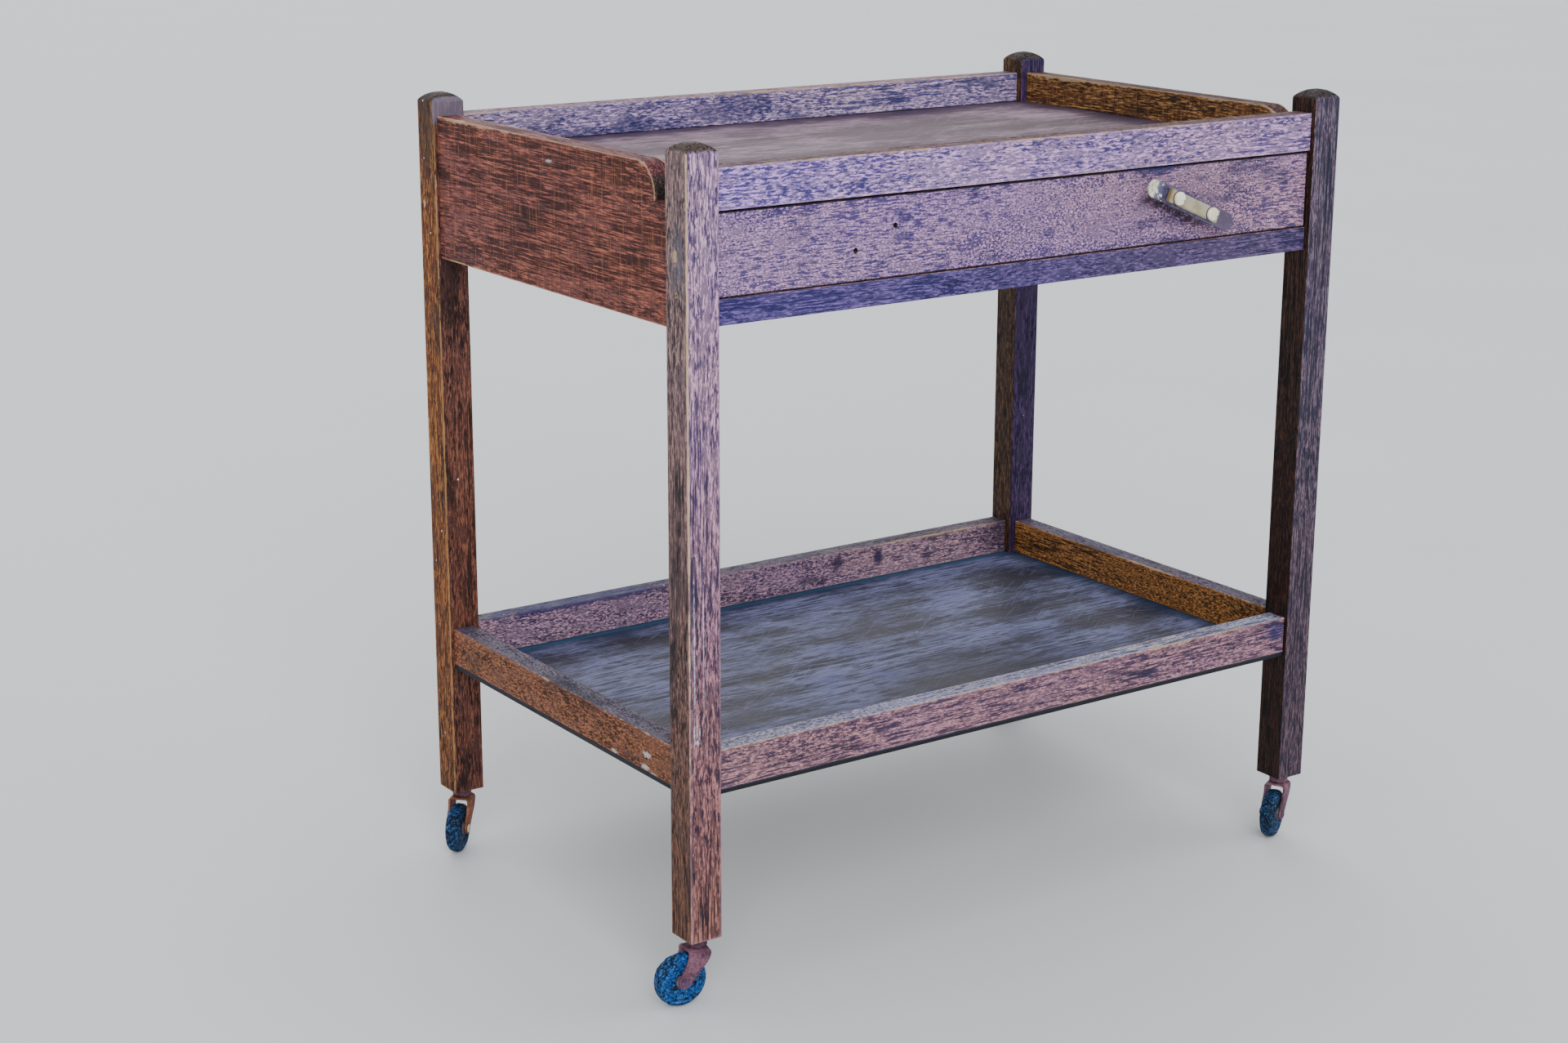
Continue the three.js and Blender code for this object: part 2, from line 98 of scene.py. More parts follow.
class Shader:
    """A material built by small calls. Every argument may be a number, a colour or a socket."""

    def __init__(self, name, seed=0.0):
        self.material = bpy.data.materials.new(name)
        self.material.use_nodes = True
        self.tree = self.material.node_tree
        self.tree.nodes.clear()
        self.surface = self.node("ShaderNodeBsdfPrincipled")
        output = self.node("ShaderNodeOutputMaterial")
        self.tree.links.new(self.surface.outputs[0], output.inputs["Surface"])
        place = self.node("ShaderNodeTexCoord")
        self.place = place.outputs["Object"]
        self.normal = place.outputs["Normal"]
        self.seeded = self.vector("ADD", self.place, (seed * 1.37, seed * 2.11, seed * 0.73))

    def node(self, kind, **settings):
        made = self.tree.nodes.new(kind)
        for key, value in settings.items():
            setattr(made, key, value)
        return made

    def put(self, socket, value):
        if isinstance(value, bpy.types.NodeSocket):
            self.tree.links.new(value, socket)
        else:
            socket.default_value = value

    def math(self, operation, a, b=0.0, c=0.0):
        made = self.node("ShaderNodeMath", operation=operation)
        for socket, value in zip(made.inputs, (a, b, c)):
            self.put(socket, value)
        return made.outputs[0]

    def vector(self, operation, a, b=(0, 0, 0)):
        made = self.node("ShaderNodeVectorMath", operation=operation)
        self.put(made.inputs[0], a)
        self.put(made.inputs[1], b)
        return made.outputs["Value" if operation in ("LENGTH", "DOT_PRODUCT") else "Vector"]

    def axis(self, vector, index):
        made = self.node("ShaderNodeSeparateXYZ")
        self.put(made.inputs[0], vector)
        return made.outputs[index]

    def total(self, *terms):
        """The sum of (weight, socket) pairs."""
        value = self.math("MULTIPLY", terms[0][1], terms[0][0])
        for weight, socket in terms[1:]:
            value = self.math("MULTIPLY_ADD", socket, weight, value)
        return value

    def ramp(self, value, low, high, to_low=0.0, to_high=1.0):
        """A smooth step from to_low at low to to_high at high."""
        made = self.node("ShaderNodeMapRange", interpolation_type="SMOOTHSTEP")
        for socket, number in zip(made.inputs, (value, low, high, to_low, to_high)):
            self.put(socket, number)
        return made.outputs[0]

    def mix(self, factor, a, b, blend="MIX"):
        made = self.node("ShaderNodeMix", data_type="RGBA", blend_type=blend)
        self.put(made.inputs[0], factor)
        self.put(made.inputs[6], a)
        self.put(made.inputs[7], b)
        return made.outputs[2]

    def noise(self, vector, detail=3.0, roughness=0.55, distortion=0.0):
        made = self.node("ShaderNodeTexNoise")
        self.put(made.inputs["Vector"], vector)
        made.inputs["Scale"].default_value = 1
        made.inputs["Detail"].default_value = detail
        made.inputs["Roughness"].default_value = roughness
        made.inputs["Distortion"].default_value = distortion
        return made.outputs[0]

    def grain(self, along, across, axis, **settings):
        """Noise stretched along one axis, with so many ripples a metre along it and across it."""
        scale = [across] * 3
        scale[axis] = along
        return self.noise(self.vector("MULTIPLY", self.seeded, tuple(scale)), **settings)

    def even(self, scale, **settings):
        return self.noise(self.vector("MULTIPLY", self.seeded, (scale,) * 3), **settings)

    def specks(self, cells, size, share):
        """Sparse round specks: a mask that is 1 inside them."""
        made = self.node("ShaderNodeTexVoronoi")
        self.put(made.inputs["Vector"], self.seeded)
        made.inputs["Scale"].default_value = cells
        near = self.ramp(made.outputs["Distance"], size * 0.7, size, 1.0, 0.0)
        chosen = self.ramp(self.axis(made.outputs["Color"], 0), 1 - share, 1 - share + 0.02)
        return self.math("MULTIPLY", near, chosen)

    def blot(self, centre, radii, ragged=0.6, ripples=120, soft=0.35):
        """An uneven patch about a point, with its half size along each axis."""
        inverse = tuple(1 / r for r in radii)
        offset = self.vector("MULTIPLY", self.vector("SUBTRACT", self.place, centre), inverse)
        distance = self.vector("LENGTH", offset)
        torn = self.math("SUBTRACT", self.even(ripples, detail=4, roughness=0.7), 0.5)
        ragged_distance = self.math("MULTIPLY_ADD", torn, ragged * 2, distance)
        return self.ramp(ragged_distance, 1 - soft, 1.0, 1.0, 0.0)

    def finish(self, colour, roughness, height=None, depth=0.0003, **constants):
        self.put(self.surface.inputs["Base Color"], colour)
        self.put(self.surface.inputs["Roughness"], roughness)
        for name, value in constants.items():
            self.surface.inputs[name.replace("_", " ")].default_value = value
        if height is not None:
            bump = self.node("ShaderNodeBump")
            bump.inputs["Strength"].default_value = 1.0
            bump.inputs["Distance"].default_value = depth
            self.put(bump.inputs["Height"], height)
            self.put(self.surface.inputs["Normal"], bump.outputs[0])
        return self.material


# ---- Wood ----------------------------------------------
WORN = 0xC4A37C  # bare wood at the arrises
SPECK = 0xDDE2EA
INK_BLUE = 0x23265A
CHALK = 0xD5D8E2


def tones(code, cool=0.0):
    """Four inks from one: the worn ground, the stained ground, the flecks and the stains.
    cool is how far the dark ones turn from brown to blue-violet."""
    parts = [code >> 16, code >> 8 & 255, code & 255]

    def tint(red, green, blue):
        scaled = [min(255, round(part * f)) for part, f in zip(parts, (red, green, blue))]
        return scaled[0] << 16 | scaled[1] << 8 | scaled[2]

    worn = tint(1.64, 1.69 - 0.13 * cool, 1.5)
    flecks = tint(0.39 - 0.02 * cool, 0.37 + 0.06 * cool, 0.42 + 0.32 * cool)
    stains = tint(0.36 - 0.02 * cool, 0.34 + 0.08 * cool, 0.4 + 0.26 * cool)
    return worn, code, flecks, stains


MAUVE = tones(0x7F6686, 1)  # faces towards -Y, tinted mauve as a painted reflection of the blue sky
RED_BROWN = tones(0x5A382E)
DUSTY = tones(0x745A60, 0.6)  # faces that look up
SHADED = tones(0x463229)  # faces in the gaps and out of the light, inked darker as painted shade
OCHRE = (0xC08C4A, 0x603C1C, 0x22140A, 0x180E08)  # faces that look at the inside, to the right


def by_face(s, front, side, top):
    """An ink that changes with the way the surface faces; it carries painted light, such as the
    painted reflection of the sky on faces towards -Y.
    """
    towards_front = s.ramp(s.axis(s.normal, 1), -0.75, -0.35, 1.0, 0.0)
    towards_top = s.ramp(s.axis(s.normal, 2), 0.45, 0.8)
    upright = s.mix(towards_front, ink(side), ink(front))
    return s.mix(towards_top, upright, ink(top))


def inset(s, low, high, axis):
    """Depth inside the slab between low and high on one axis."""
    middle = (low[axis] + high[axis]) / 2
    half = (high[axis] - low[axis]) / 2
    offset = s.math("ABSOLUTE", s.math("SUBTRACT", s.axis(s.place, axis), middle))
    return s.math("SUBTRACT", half, offset)


def box_edge(node, axes):
    """Distance on a box-shaped piece to its nearest arris. Two axes leave out the butted ends."""
    def distance(s):
        low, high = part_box(node)
        depths = [inset(s, low, high, axis) for axis in axes]
        if len(depths) == 2:
            return s.math("MAXIMUM", *depths)
        a, b, c = depths
        inner = s.math("MINIMUM", s.math("MAXIMUM", a, b), c)
        return s.math("MAXIMUM", s.math("MINIMUM", a, b), inner)

    return distance


LEG_SHOULDER = 0.749  # height where the rounded top of a leg begins


def leg_edge(node):
    """The four upright arrises and the foot; the rounded top is left dark."""
    def distance(s):
        low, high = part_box(node)
        height = s.axis(s.place, 2)
        upright = s.math("MAXIMUM", *[inset(s, low, high, axis) for axis in (0, 1)])
        on_crown = s.math("GREATER_THAN", height, LEG_SHOULDER)
        square = s.math("ADD", upright, on_crown)
        return s.math("MINIMUM", square, s.math("SUBTRACT", height, low.z))

    return distance


PANEL_CURVE = 0.028  # radius at the front top corner of an end panel
PANEL_NOTCH = 0.021  # from that corner to the front leg


def panel_edge(node):
    """The outer arrises along the top, round the quarter curve and along the bottom."""
    def distance(s):
        low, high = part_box(node)
        y, z = s.axis(s.place, 1), s.axis(s.place, 2)
        centre = low.y + PANEL_NOTCH + PANEL_CURVE
        over = s.math("MAXIMUM", s.math("SUBTRACT", centre, y), 0.0)
        up = s.math("MAXIMUM", s.math("SUBTRACT", z, high.z - PANEL_CURVE), 0.0)
        squares = [s.math("POWER", part, 2.0) for part in (over, up)]
        from_centre = s.math("SQRT", s.math("ADD", *squares))
        below_notch = s.math("LESS_THAN", z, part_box("tray_board")[1].z)
        curve = s.math("ABSOLUTE", s.math("SUBTRACT", PANEL_CURVE, from_centre))
        top = s.math("ADD", curve, below_notch)
        outline = s.math("MINIMUM", top, s.math("SUBTRACT", z, low.z))
        return s.math("MAXIMUM", inset(s, low, high, 0), outline)

    return distance


def wood(
    name,
    seed,
    axis,
    edge,
    front=MAUVE,
    side=RED_BROWN,
    top=DUSTY,
    flecks=(125, 560),
    dark_share=0.5,
    stains=0.7,
    wear=1.0,
    figure=(34, 85),
    marks=(),
    extra=None,
):
    """Stained open-grain wood. axis is the grain's; edge makes the distance to a worn arris.
    front, side and top are four tones each. flecks and figure are (ripples along, across) a metre.
    marks are (mask maker, ink, strength); extra changes the colour of the whole piece."""
    s = Shader(name, seed)
    tone = s.grain(5, 17, axis, detail=3)
    mottle = s.grain(*figure, axis, detail=4, roughness=0.65)
    fibre = s.grain(22, 620, axis, detail=4, roughness=0.6)
    short = s.grain(*flecks, axis, detail=4, roughness=0.7, distortion=0.4)
    long = s.grain(flecks[0] * 0.25, flecks[1] * 1.1, axis, detail=4, roughness=0.62)
    streaky = s.ramp(s.grain(3, 9, axis, detail=1), 0.42, 0.58, 0.1, 0.8)
    fleck = s.math("MULTIPLY_ADD", s.math("SUBTRACT", long, short), streaky, short)
    shimmer = s.grain(flecks[0] * 1.3, flecks[1] * 1.2, axis, detail=3, roughness=0.7)
    stain = s.grain(8, 26, axis, detail=5, roughness=0.66)

    light = s.total((0.12, tone), (0.2, mottle), (0.14, fibre), (0.54, shimmer))
    worn, ground = [by_face(s, front[i], side[i], top[i]) for i in (0, 1)]
    colour = s.mix(s.ramp(light, 0.478, 0.54), ground, worn)
    dark = by_face(s, front[2], side[2], top[2])
    shift = 0.5 - dark_share
    flecked = s.total((0.64, fleck), (0.22, mottle), (0.14, tone))
    dashes = s.ramp(flecked, 0.495 + shift, 0.545 + shift)
    colour = s.mix(s.math("MULTIPLY", dashes, 0.9), colour, dark)
    drift = s.ramp(s.grain(4, 11, axis, detail=2), 0.38, 0.62, 0.0, 0.8)
    colour = s.mix(drift, colour, (0.88, 0.88, 1.06, 1), blend="MULTIPLY")
    spread = s.ramp(s.total((0.7, stain), (0.3, fleck)), 0.53, 0.6)
    blotches = s.math("MULTIPLY", spread, stains)
    colour = s.mix(blotches, colour, by_face(s, front[3], side[3], top[3]))
    if extra:
        colour = extra(s, colour)

    distance = edge(s)
    chips = s.grain(70, 190, axis, detail=5, roughness=0.72)
    along = s.even(8, detail=2)
    low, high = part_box(name)
    higher = s.ramp(s.axis(s.place, 2), low.z, high.z, 0.4, 1.0)
    least, most = 0.0009 * wear - 0.0013, 0.0019 * wear
    reach = s.ramp(s.total((0.6, chips), (0.4, along)), 0.44, 0.64, least, most)
    bare = s.ramp(s.math("SUBTRACT", s.math("MULTIPLY", reach, higher), distance), -0.0002, 0.0003)
    soft = s.ramp(distance, 0.0, 0.003, min(0.2 * wear, 0.3), 0.0)
    colour = s.mix(soft, colour, by_face(s, front[0], side[0], top[0]))
    colour = s.mix(s.math("MULTIPLY", bare, 0.7), colour, ink(WORN))
    for make_mask, tint, strength in marks:
        colour = s.mix(s.math("MULTIPLY", make_mask(s), strength), colour, ink(tint))
    colour = s.mix(s.specks(75, 0.08, 0.07), colour, ink(SPECK))

    rough = s.total((0.14, dashes), (0.3, mottle), (0.2, bare), (0.42, 1.0))
    height = s.total((0.4, fibre), (-0.4, dashes), (0.4, shimmer), (0.9, mottle), (-0.6, bare))
    return s.finish(colour, rough, height, 0.0004, Specular_IOR_Level=0.22)


# ---- Other materials -----------------------------------
def tray(name, seed, tints, contrast, shade, strip=None):
    """A board's varnished face, streaked along X, finely scratched and grimy round its rim. shade
    is the centre of a darker patch; strip is the ink of the band along the rear rail."""
    light, mid, dark, grime = tints
    s = Shader(name, seed)
    bands = s.grain(2.2, 26, 0, detail=5, roughness=0.62)
    streaks = s.grain(20, 190, 0, detail=5, roughness=0.7, distortion=0.3)
    fibre = s.grain(30, 420, 0, detail=3)
    cloud = s.even(9, detail=5, roughness=0.62)
    ground = s.total((0.3, bands), (0.35, streaks), (0.1, fibre), (0.25, cloud))
    colour = s.mix(s.ramp(ground, 0.5 - contrast, 0.5 + contrast), ink(mid), ink(light))
    deep = s.total((0.55, streaks), (0.25, fibre), (0.2, bands))
    colour = s.mix(s.ramp(deep, 0.5, 0.56, 0.0, 0.85), colour, ink(dark))
    scuffs = s.ramp(s.total((0.6, s.even(26, detail=6, roughness=0.75)), (0.4, cloud)), 0.53, 0.66)
    colour = s.mix(s.math("MULTIPLY", scuffs, 0.35), colour, ink(light))
    scratched = None
    for turn, length, width in ((0.35, 10, 420), (-0.6, 14, 520), (1.3, 12, 460), (2.4, 16, 600)):
        spin = s.node("ShaderNodeVectorRotate", rotation_type="Z_AXIS")
        s.put(spin.inputs["Vector"], s.seeded)
        spin.inputs["Angle"].default_value = turn
        line = s.noise(s.vector("MULTIPLY", spin.outputs[0], (length, width, 1)), detail=1)
        one = s.ramp(line, 0.66, 0.73)
        scratched = one if scratched is None else s.math("MAXIMUM", scratched, one)
    colour = s.mix(s.math("MULTIPLY", scratched, 0.4), colour, ink(light))
    low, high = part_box(name)
    rim = s.math("MINIMUM", inset(s, low, high, 0), inset(s, low, high, 1))
    torn = s.math("MULTIPLY_ADD", s.math("SUBTRACT", cloud, 0.5), 0.05, rim)
    colour = s.mix(s.ramp(torn, 0.022, 0.05, 0.75, 0.0), colour, ink(grime))
    near = s.blot(shade, (0.2, 0.12, 0.1), ragged=0.5, ripples=14, soft=0.8)
    colour = s.mix(s.math("MULTIPLY", near, 0.6), colour, ink(mid))
    if strip:
        by_rail = s.ramp(s.axis(s.place, 1), high.y - 0.03, high.y - 0.027, 0.0, 0.7)
        colour = s.mix(by_rail, colour, ink(strip))
    upward = s.ramp(s.axis(s.normal, 2), 0.3, 0.7)
    colour = s.mix(upward, ink(dark), colour)
    colour = s.mix(s.specks(60, 0.06, 0.05), colour, ink(SPECK))
    rough = s.total((0.35, cloud), (0.2, scuffs), (0.15, fibre), (0.34, 1.0))
    height = s.total((0.3, fibre), (0.4, streaks), (0.4, cloud), (-0.3, scratched))
    return s.finish(colour, rough, height, 0.0003, Specular_IOR_Level=0.3)


def bare_wood(name, seed, axis):
    """Unfinished softwood inside the case, gone brown with age."""
    s = Shader(name, seed)
    rings = s.grain(2.5, 85, axis, detail=4, roughness=0.5, distortion=0.6)
    fibre = s.grain(25, 700, axis, detail=3)
    cloud = s.even(14, detail=5)
    ground = s.ramp(s.total((0.6, rings), (0.4, fibre)), 0.38, 0.62)
    colour = s.mix(ground, ink(0x6E4C31), ink(0xA07C54))
    colour = s.mix(s.ramp(cloud, 0.5, 0.7, 0.0, 0.45), colour, ink(0x4A3022))
    height = s.total((0.6, fibre), (0.4, rings))
    return s.finish(colour, s.total((0.3, cloud), (0.6, 1.0)), height, 0.0003)


def rusted(name, seed, light=0x84586A, mid=0x4C2F3E, dark=0x221420):
    """Stamped steel, rusted all over."""
    s = Shader(name, seed)
    cloud = s.even(70, detail=6, roughness=0.7)
    crust = s.even(420, detail=5, roughness=0.7)
    grit = s.even(1500, detail=3, roughness=0.7)
    colour = s.mix(s.ramp(s.total((0.5, cloud), (0.5, crust)), 0.44, 0.56), ink(mid), ink(light))
    colour = s.mix(s.ramp(crust, 0.52, 0.64, 0.0, 0.8), colour, ink(dark))
    bright = s.ramp(s.total((0.4, cloud), (0.6, grit)), 0.55, 0.63)
    colour = s.mix(s.math("MULTIPLY", bright, 0.5), colour, ink(0xB98A78))
    height = s.total((0.6, crust), (0.5, grit), (0.8, cloud))
    rough = s.total((0.35, cloud), (0.5, 1.0))
    return s.finish(colour, rough, height, 0.0006, Metallic=0.25, Specular_IOR_Level=0.3)


def rubber(name, seed, tints):
    """Hard black rubber, grey with dust and chalky where it is scraped."""
    dark, mid, dusty = tints
    s = Shader(name, seed)
    cloud = s.even(60, detail=6, roughness=0.7)
    crumbs = s.even(380, detail=5, roughness=0.72)
    grit = s.even(1300, detail=3, roughness=0.7)
    colour = s.mix(s.ramp(s.total((0.4, cloud), (0.6, crumbs)), 0.45, 0.56), ink(dark), ink(mid))
    dust = s.ramp(s.total((0.3, crumbs), (0.7, grit)), 0.53, 0.61)
    colour = s.mix(s.math("MULTIPLY", dust, 0.6), colour, ink(dusty))
    scraped = s.ramp(s.total((0.7, crumbs), (0.3, cloud)), 0.6, 0.68)
    colour = s.mix(s.math("MULTIPLY", scraped, 0.75), colour, ink(0xB9CAD6))
    height = s.total((0.7, crumbs), (0.4, grit), (0.6, cloud))
    rough = s.total((0.3, cloud), (0.45, 1.0))
    return s.finish(colour, rough, height, 0.0006, Specular_IOR_Level=0.12)


def chrome(name, seed):
    """Dulled and pitted chrome plate."""
    s = Shader(name, seed)
    cloud = s.even(90, detail=6, roughness=0.7)
    pits = s.even(900, detail=4, roughness=0.75)
    colour = s.mix(s.ramp(cloud, 0.42, 0.6), ink(0x9A98A0), ink(0x6A6478))
    spoiled = s.ramp(s.total((0.5, pits), (0.5, cloud)), 0.54, 0.62)
    colour = s.mix(spoiled, colour, ink(0x6E5C44))
    rough = s.ramp(s.total((0.6, pits), (0.4, cloud)), 0.35, 0.65, 0.25, 0.65)
    return s.finish(colour, rough, s.total((1.0, pits)), 0.0002, Metallic=0.8)


def chrome_strap(middle, along, half):
    """The strap's plate: white and yellow corrosion at its upper end; the rest is dull purple, a
    painted reflection of the mauve drawer front, strongest at its lower end.
    """
    s = Shader("strap", 3)
    cloud = s.even(110, detail=6, roughness=0.7)
    pits = s.even(700, detail=4, roughness=0.75)
    down = s.vector("DOT_PRODUCT", s.vector("SUBTRACT", s.place, middle), along)
    # dull and lower paint the drawer front's reflection in the chrome: painted reflection.
    dull = s.mix(s.ramp(cloud, 0.4, 0.6), ink(0x575070), ink(0x77749A))
    dull = s.mix(s.ramp(pits, 0.55, 0.65, 0.0, 0.8), dull, ink(0x4A3D44))
    lower = s.ramp(down, half * 0.45, half * 0.7, 0.0, 0.75)
    dull = s.mix(lower, dull, ink(0x66586A))
    torn = s.math("MULTIPLY_ADD", s.math("SUBTRACT", cloud, 0.5), 0.05, down)
    white = s.ramp(torn, -half * 0.83, -half * 0.76, 1.0, 0.0)
    yellowed = s.ramp(s.total((0.6, cloud), (0.4, pits)), 0.42, 0.58)
    crust = s.mix(yellowed, ink(0xE8E8D2), ink(0x8A8350))
    colour = s.mix(white, dull, crust)
    s.put(s.surface.inputs["Metallic"], s.ramp(white, 0.2, 0.8, 0.75, 0.05))
    rough = s.ramp(s.total((0.6, pits), (0.4, cloud)), 0.35, 0.65, 0.28, 0.6)
    return s.finish(colour, rough, s.total((1.0, pits), (0.6, cloud)), 0.0003)


def cream(name, seed, light, deep):
    """Yellowed plastic: its shader, colour, roughness and height, to add to and finish."""
    s = Shader(name, seed)
    cloud = s.even(70, detail=5, roughness=0.65)
    dirt_and_gap_shade = s.even(600, detail=5, roughness=0.7)
    colour = s.mix(s.ramp(cloud, 0.4, 0.62), ink(light), ink(deep))
    colour = s.mix(s.ramp(dirt_and_gap_shade, 0.6, 0.7, 0.0, 0.5), colour, ink(0x8B6A44))
    rough = s.total((0.3, cloud), (0.22, 1.0))
    return s, colour, rough, s.total((1.0, dirt_and_gap_shade))


def bar_plastic(middle, along, half, caps, cap_radius):
    """The bar's: brown at its upper end, with a ring of painted shade round each cap, where the cap
    sits on the bar.
    """
    s, colour, rough, height = cream("bar", 5, 0xACA286, 0x948A6A)
    down = s.vector("DOT_PRODUCT", s.vector("SUBTRACT", s.place, middle), along)
    end = s.ramp(down, -half * 0.99, -half * 0.94, 0.75, 0.0)
    colour = s.mix(end, colour, ink(0x6E501E))
    for cap in caps:
        offset = s.vector("MULTIPLY", s.vector("SUBTRACT", s.place, cap), (1, 0, 1))
        from_ring = s.math("SUBTRACT", s.vector("LENGTH", offset), cap_radius)
        # Painted shade: a dark ring in the crevice round the cap.
        ring = s.ramp(s.math("ABSOLUTE", from_ring), 0.0006, 0.0012, 0.9, 0.0)
        colour = s.mix(ring, colour, ink(0x4A3A2C))
    return s.finish(colour, rough, height, 0.00012)


def cap_plastic(name, seed, mark):
    """A cap's: whiter, with a small rusty mark."""
    s, colour, rough, height = cream(name, seed, 0xF6EEE2, 0xE6D8B2)
    spot = s.blot(mark, (0.0016, 0.003, 0.0013), ragged=0.9, ripples=700)
    colour = s.mix(s.math("MULTIPLY", spot, 0.85), colour, ink(0x7A3A22))
    return s.finish(colour, rough, height, 0.00012)


# ---- Carried-over nodes --------------------------------
def merge_faces():
    """A node group that joins a node's loose triangles and shades them smoothly."""
    group = bpy.data.node_groups.new("merge_faces", "GeometryNodeTree")
    group.interface.new_socket("Geometry", in_out="INPUT", socket_type="NodeSocketGeometry")
    group.interface.new_socket("Geometry", in_out="OUTPUT", socket_type="NodeSocketGeometry")
    start = group.nodes.new("NodeGroupInput")
    merge = group.nodes.new("GeometryNodeMergeByDistance")
    merge.inputs["Distance"].default_value = 1e-5
    bare = group.nodes.new("GeometryNodeRemoveAttribute")
    bare.inputs["Name"].default_value = "custom_normal"
    smooth = group.nodes.new("GeometryNodeSetShadeSmooth")
    end = group.nodes.new("NodeGroupOutput")
    links = group.links
    links.new(start.outputs[0], merge.inputs[0])
    links.new(merge.outputs[0], bare.inputs[0])
    links.new(bare.outputs[0], smooth.inputs[0])
    links.new(smooth.outputs[0], end.inputs[0])
    return group


MERGE_FACES = merge_faces()


def soften(node, width, segments=3):
    """Rounds a node's arrises with modifiers and leaves its mesh alone."""
    piece = frame["nodes"][node]
    piece.modifiers.new("merge", "NODES").node_group = MERGE_FACES
    flat = piece.modifiers.new("flat", "DECIMATE")
    flat.decimate_type = "DISSOLVE"
    flat.angle_limit = math.radians(0.5)
    bevel = piece.modifiers.new("arris", "BEVEL")
    bevel.width = width
    bevel.segments = segments
    bevel.limit_method = "ANGLE"
    bevel.angle_limit = math.radians(32)
    piece.modifiers.new("normals", "WEIGHTED_NORMAL")


def paint(node, material):
    slots = frame["nodes"][node].data.materials
    slots.clear()
    slots.append(material)


# ---- Shades that change over a whole piece -------------
def browner_below(strength, dull):
    """The legs turn from grey mauve at the top to a darker brown at the foot: partly the wood's own
    colour, partly painted shade lower down.
    """
    def change(s, colour):
        if dull:
            colour = duller(s, duller(s, colour, 0), 1)
        # Painted shade in part: this multiply darkens each leg towards its foot.
        height = s.ramp(s.axis(s.place, 2), 0.08, 0.74, strength, 0.0)
        return s.mix(height, colour, (0.53, 0.34, 0.16, 1), blend="MULTIPLY")

    return change


def warmer_right(s, colour, blue=0.78):
    """The front is bluest at its left end; blue is how much is left at its right end."""
    across = s.ramp(s.axis(s.place, 0), -0.3, 0.35)
    return s.mix(across, colour, (1.0, 0.96, blue, 1), blend="MULTIPLY")


def much_warmer_right(s, colour):
    return warmer_right(s, colour, 0.6)


def duller(s, colour, axis):
    """Darker and redder where a piece faces away from the light, along +X or +Y."""
    away = s.ramp(s.axis(s.normal, axis), 0.3, 0.7)
    return s.mix(away, colour, (0.62, 0.5, 1.2, 1), blend="MULTIPLY")


def duller_outside(s, colour):
    return duller(s, colour, 0)


def cross_scratches(s, colour):
    """Faint upright scratches across an end panel's grain, most of them near its top."""
    upright = s.grain(20, 420, 2, detail=3, roughness=0.6)
    height = s.ramp(s.axis(s.place, 2), 0.62, 0.73, 0.25, 0.85)
    lines = s.math("MULTIPLY", s.ramp(upright, 0.5, 0.62), height)
    dark = s.mix(s.math("MULTIPLY", lines, 0.5), colour, ink(0x2A1520))
    bright = s.ramp(s.grain(30, 560, 2, detail=2), 0.58, 0.66)
    return s.mix(s.math("MULTIPLY", bright, 0.4), dark, ink(0xA86A42))


def scratched_and_duller(s, colour):
    return cross_scratches(s, duller_outside(s, colour))


def gap_shade_lines(s, colour):
    """Painted shade in the gaps above and below the drawer front."""
    low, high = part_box("drawer_front")
    height = s.axis(s.place, 2)
    over = s.ramp(height, high.z - 0.0016, high.z - 0.0009, 0.0, 0.95)
    under = s.ramp(height, low.z + 0.0004, low.z + 0.0011, 0.85, 0.0)
    outward = s.ramp(s.axis(s.normal, 1), -0.6, -0.3, 1.0, 0.0)
    # Painted shade: a near-black line in the gaps, only on the faces towards -Y.
    dirt_and_gap_shade = s.math("MULTIPLY", s.math("MAXIMUM", over, under), outward)
    return s.mix(dirt_and_gap_shade, warmer_right(s, colour), ink(0x0C0810))


# ---- Marks ---------------------------------------------
CHIP = 0xC9A576  # fresh wood in a chip
INK_VIOLET = 0x241C40
DEEP = 0.01  # how far a mark reaches into its face, so that it covers the rounded arris


def mark(tint, strength, place, radii, **settings):
    """One painted patch, used for wear, stains and painted shadow: its ink, how strongly it covers,
    its centre and its half sizes.
    """
    return (lambda s: s.blot(place, radii, **settings)), tint, strength


def front_left_marks():
    """A worn arris, two runs of pale paint with a smeared end on the front face, and a rubbed
    patch, a chip and a nail hole on the side."""
    low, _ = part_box("leg_fl")
    side, front = low.x, low.y
    marks = [
        mark(0xD2B48C, 0.75, (side, front, 0.58), (0.0016, 0.0016, 0.38), ragged=1.0, ripples=60),
    ]
    for across, height, half_width, half_height, strength in (
        (0.0052, 0.330, 0.0009, 0.088, 0.6),
        (0.0145, 0.337, 0.0008, 0.083, 0.5),
        (0.0049, 0.257, 0.0009, 0.0125, 0.75),
        (0.0075, 0.2575, 0.0008, 0.0135, 0.7),
        (0.0102, 0.2555, 0.0009, 0.0120, 0.7),
        (0.0072, 0.2475, 0.0034, 0.0030, 0.6),
    ):
        place = (side + across, front, height)
        radii = (half_width, DEEP, half_height)
        marks.append(mark(CHALK, strength, place, radii, ragged=1.2, ripples=300, soft=0.8))
    rubbed = (side, front + 0.014, 0.662)
    chip = (side, front + 0.017, 0.664)
    nail = (side, front + 0.0155, 0.6325)
    marks += [
        mark(0x465264, 0.6, rubbed, (DEEP, 0.013, 0.042), soft=0.9),
        mark(CHIP, 0.85, chip, (0.004, 0.0036, 0.0075), ragged=1.0, ripples=420),
        mark(0xC19A66, 0.85, nail, (0.003, 0.002, 0.003), ragged=0.7, ripples=600),
        mark(0x120C0C, 1.0, nail, (0.003, 0.0011, 0.0014), ragged=0.1),
    ]
    return marks


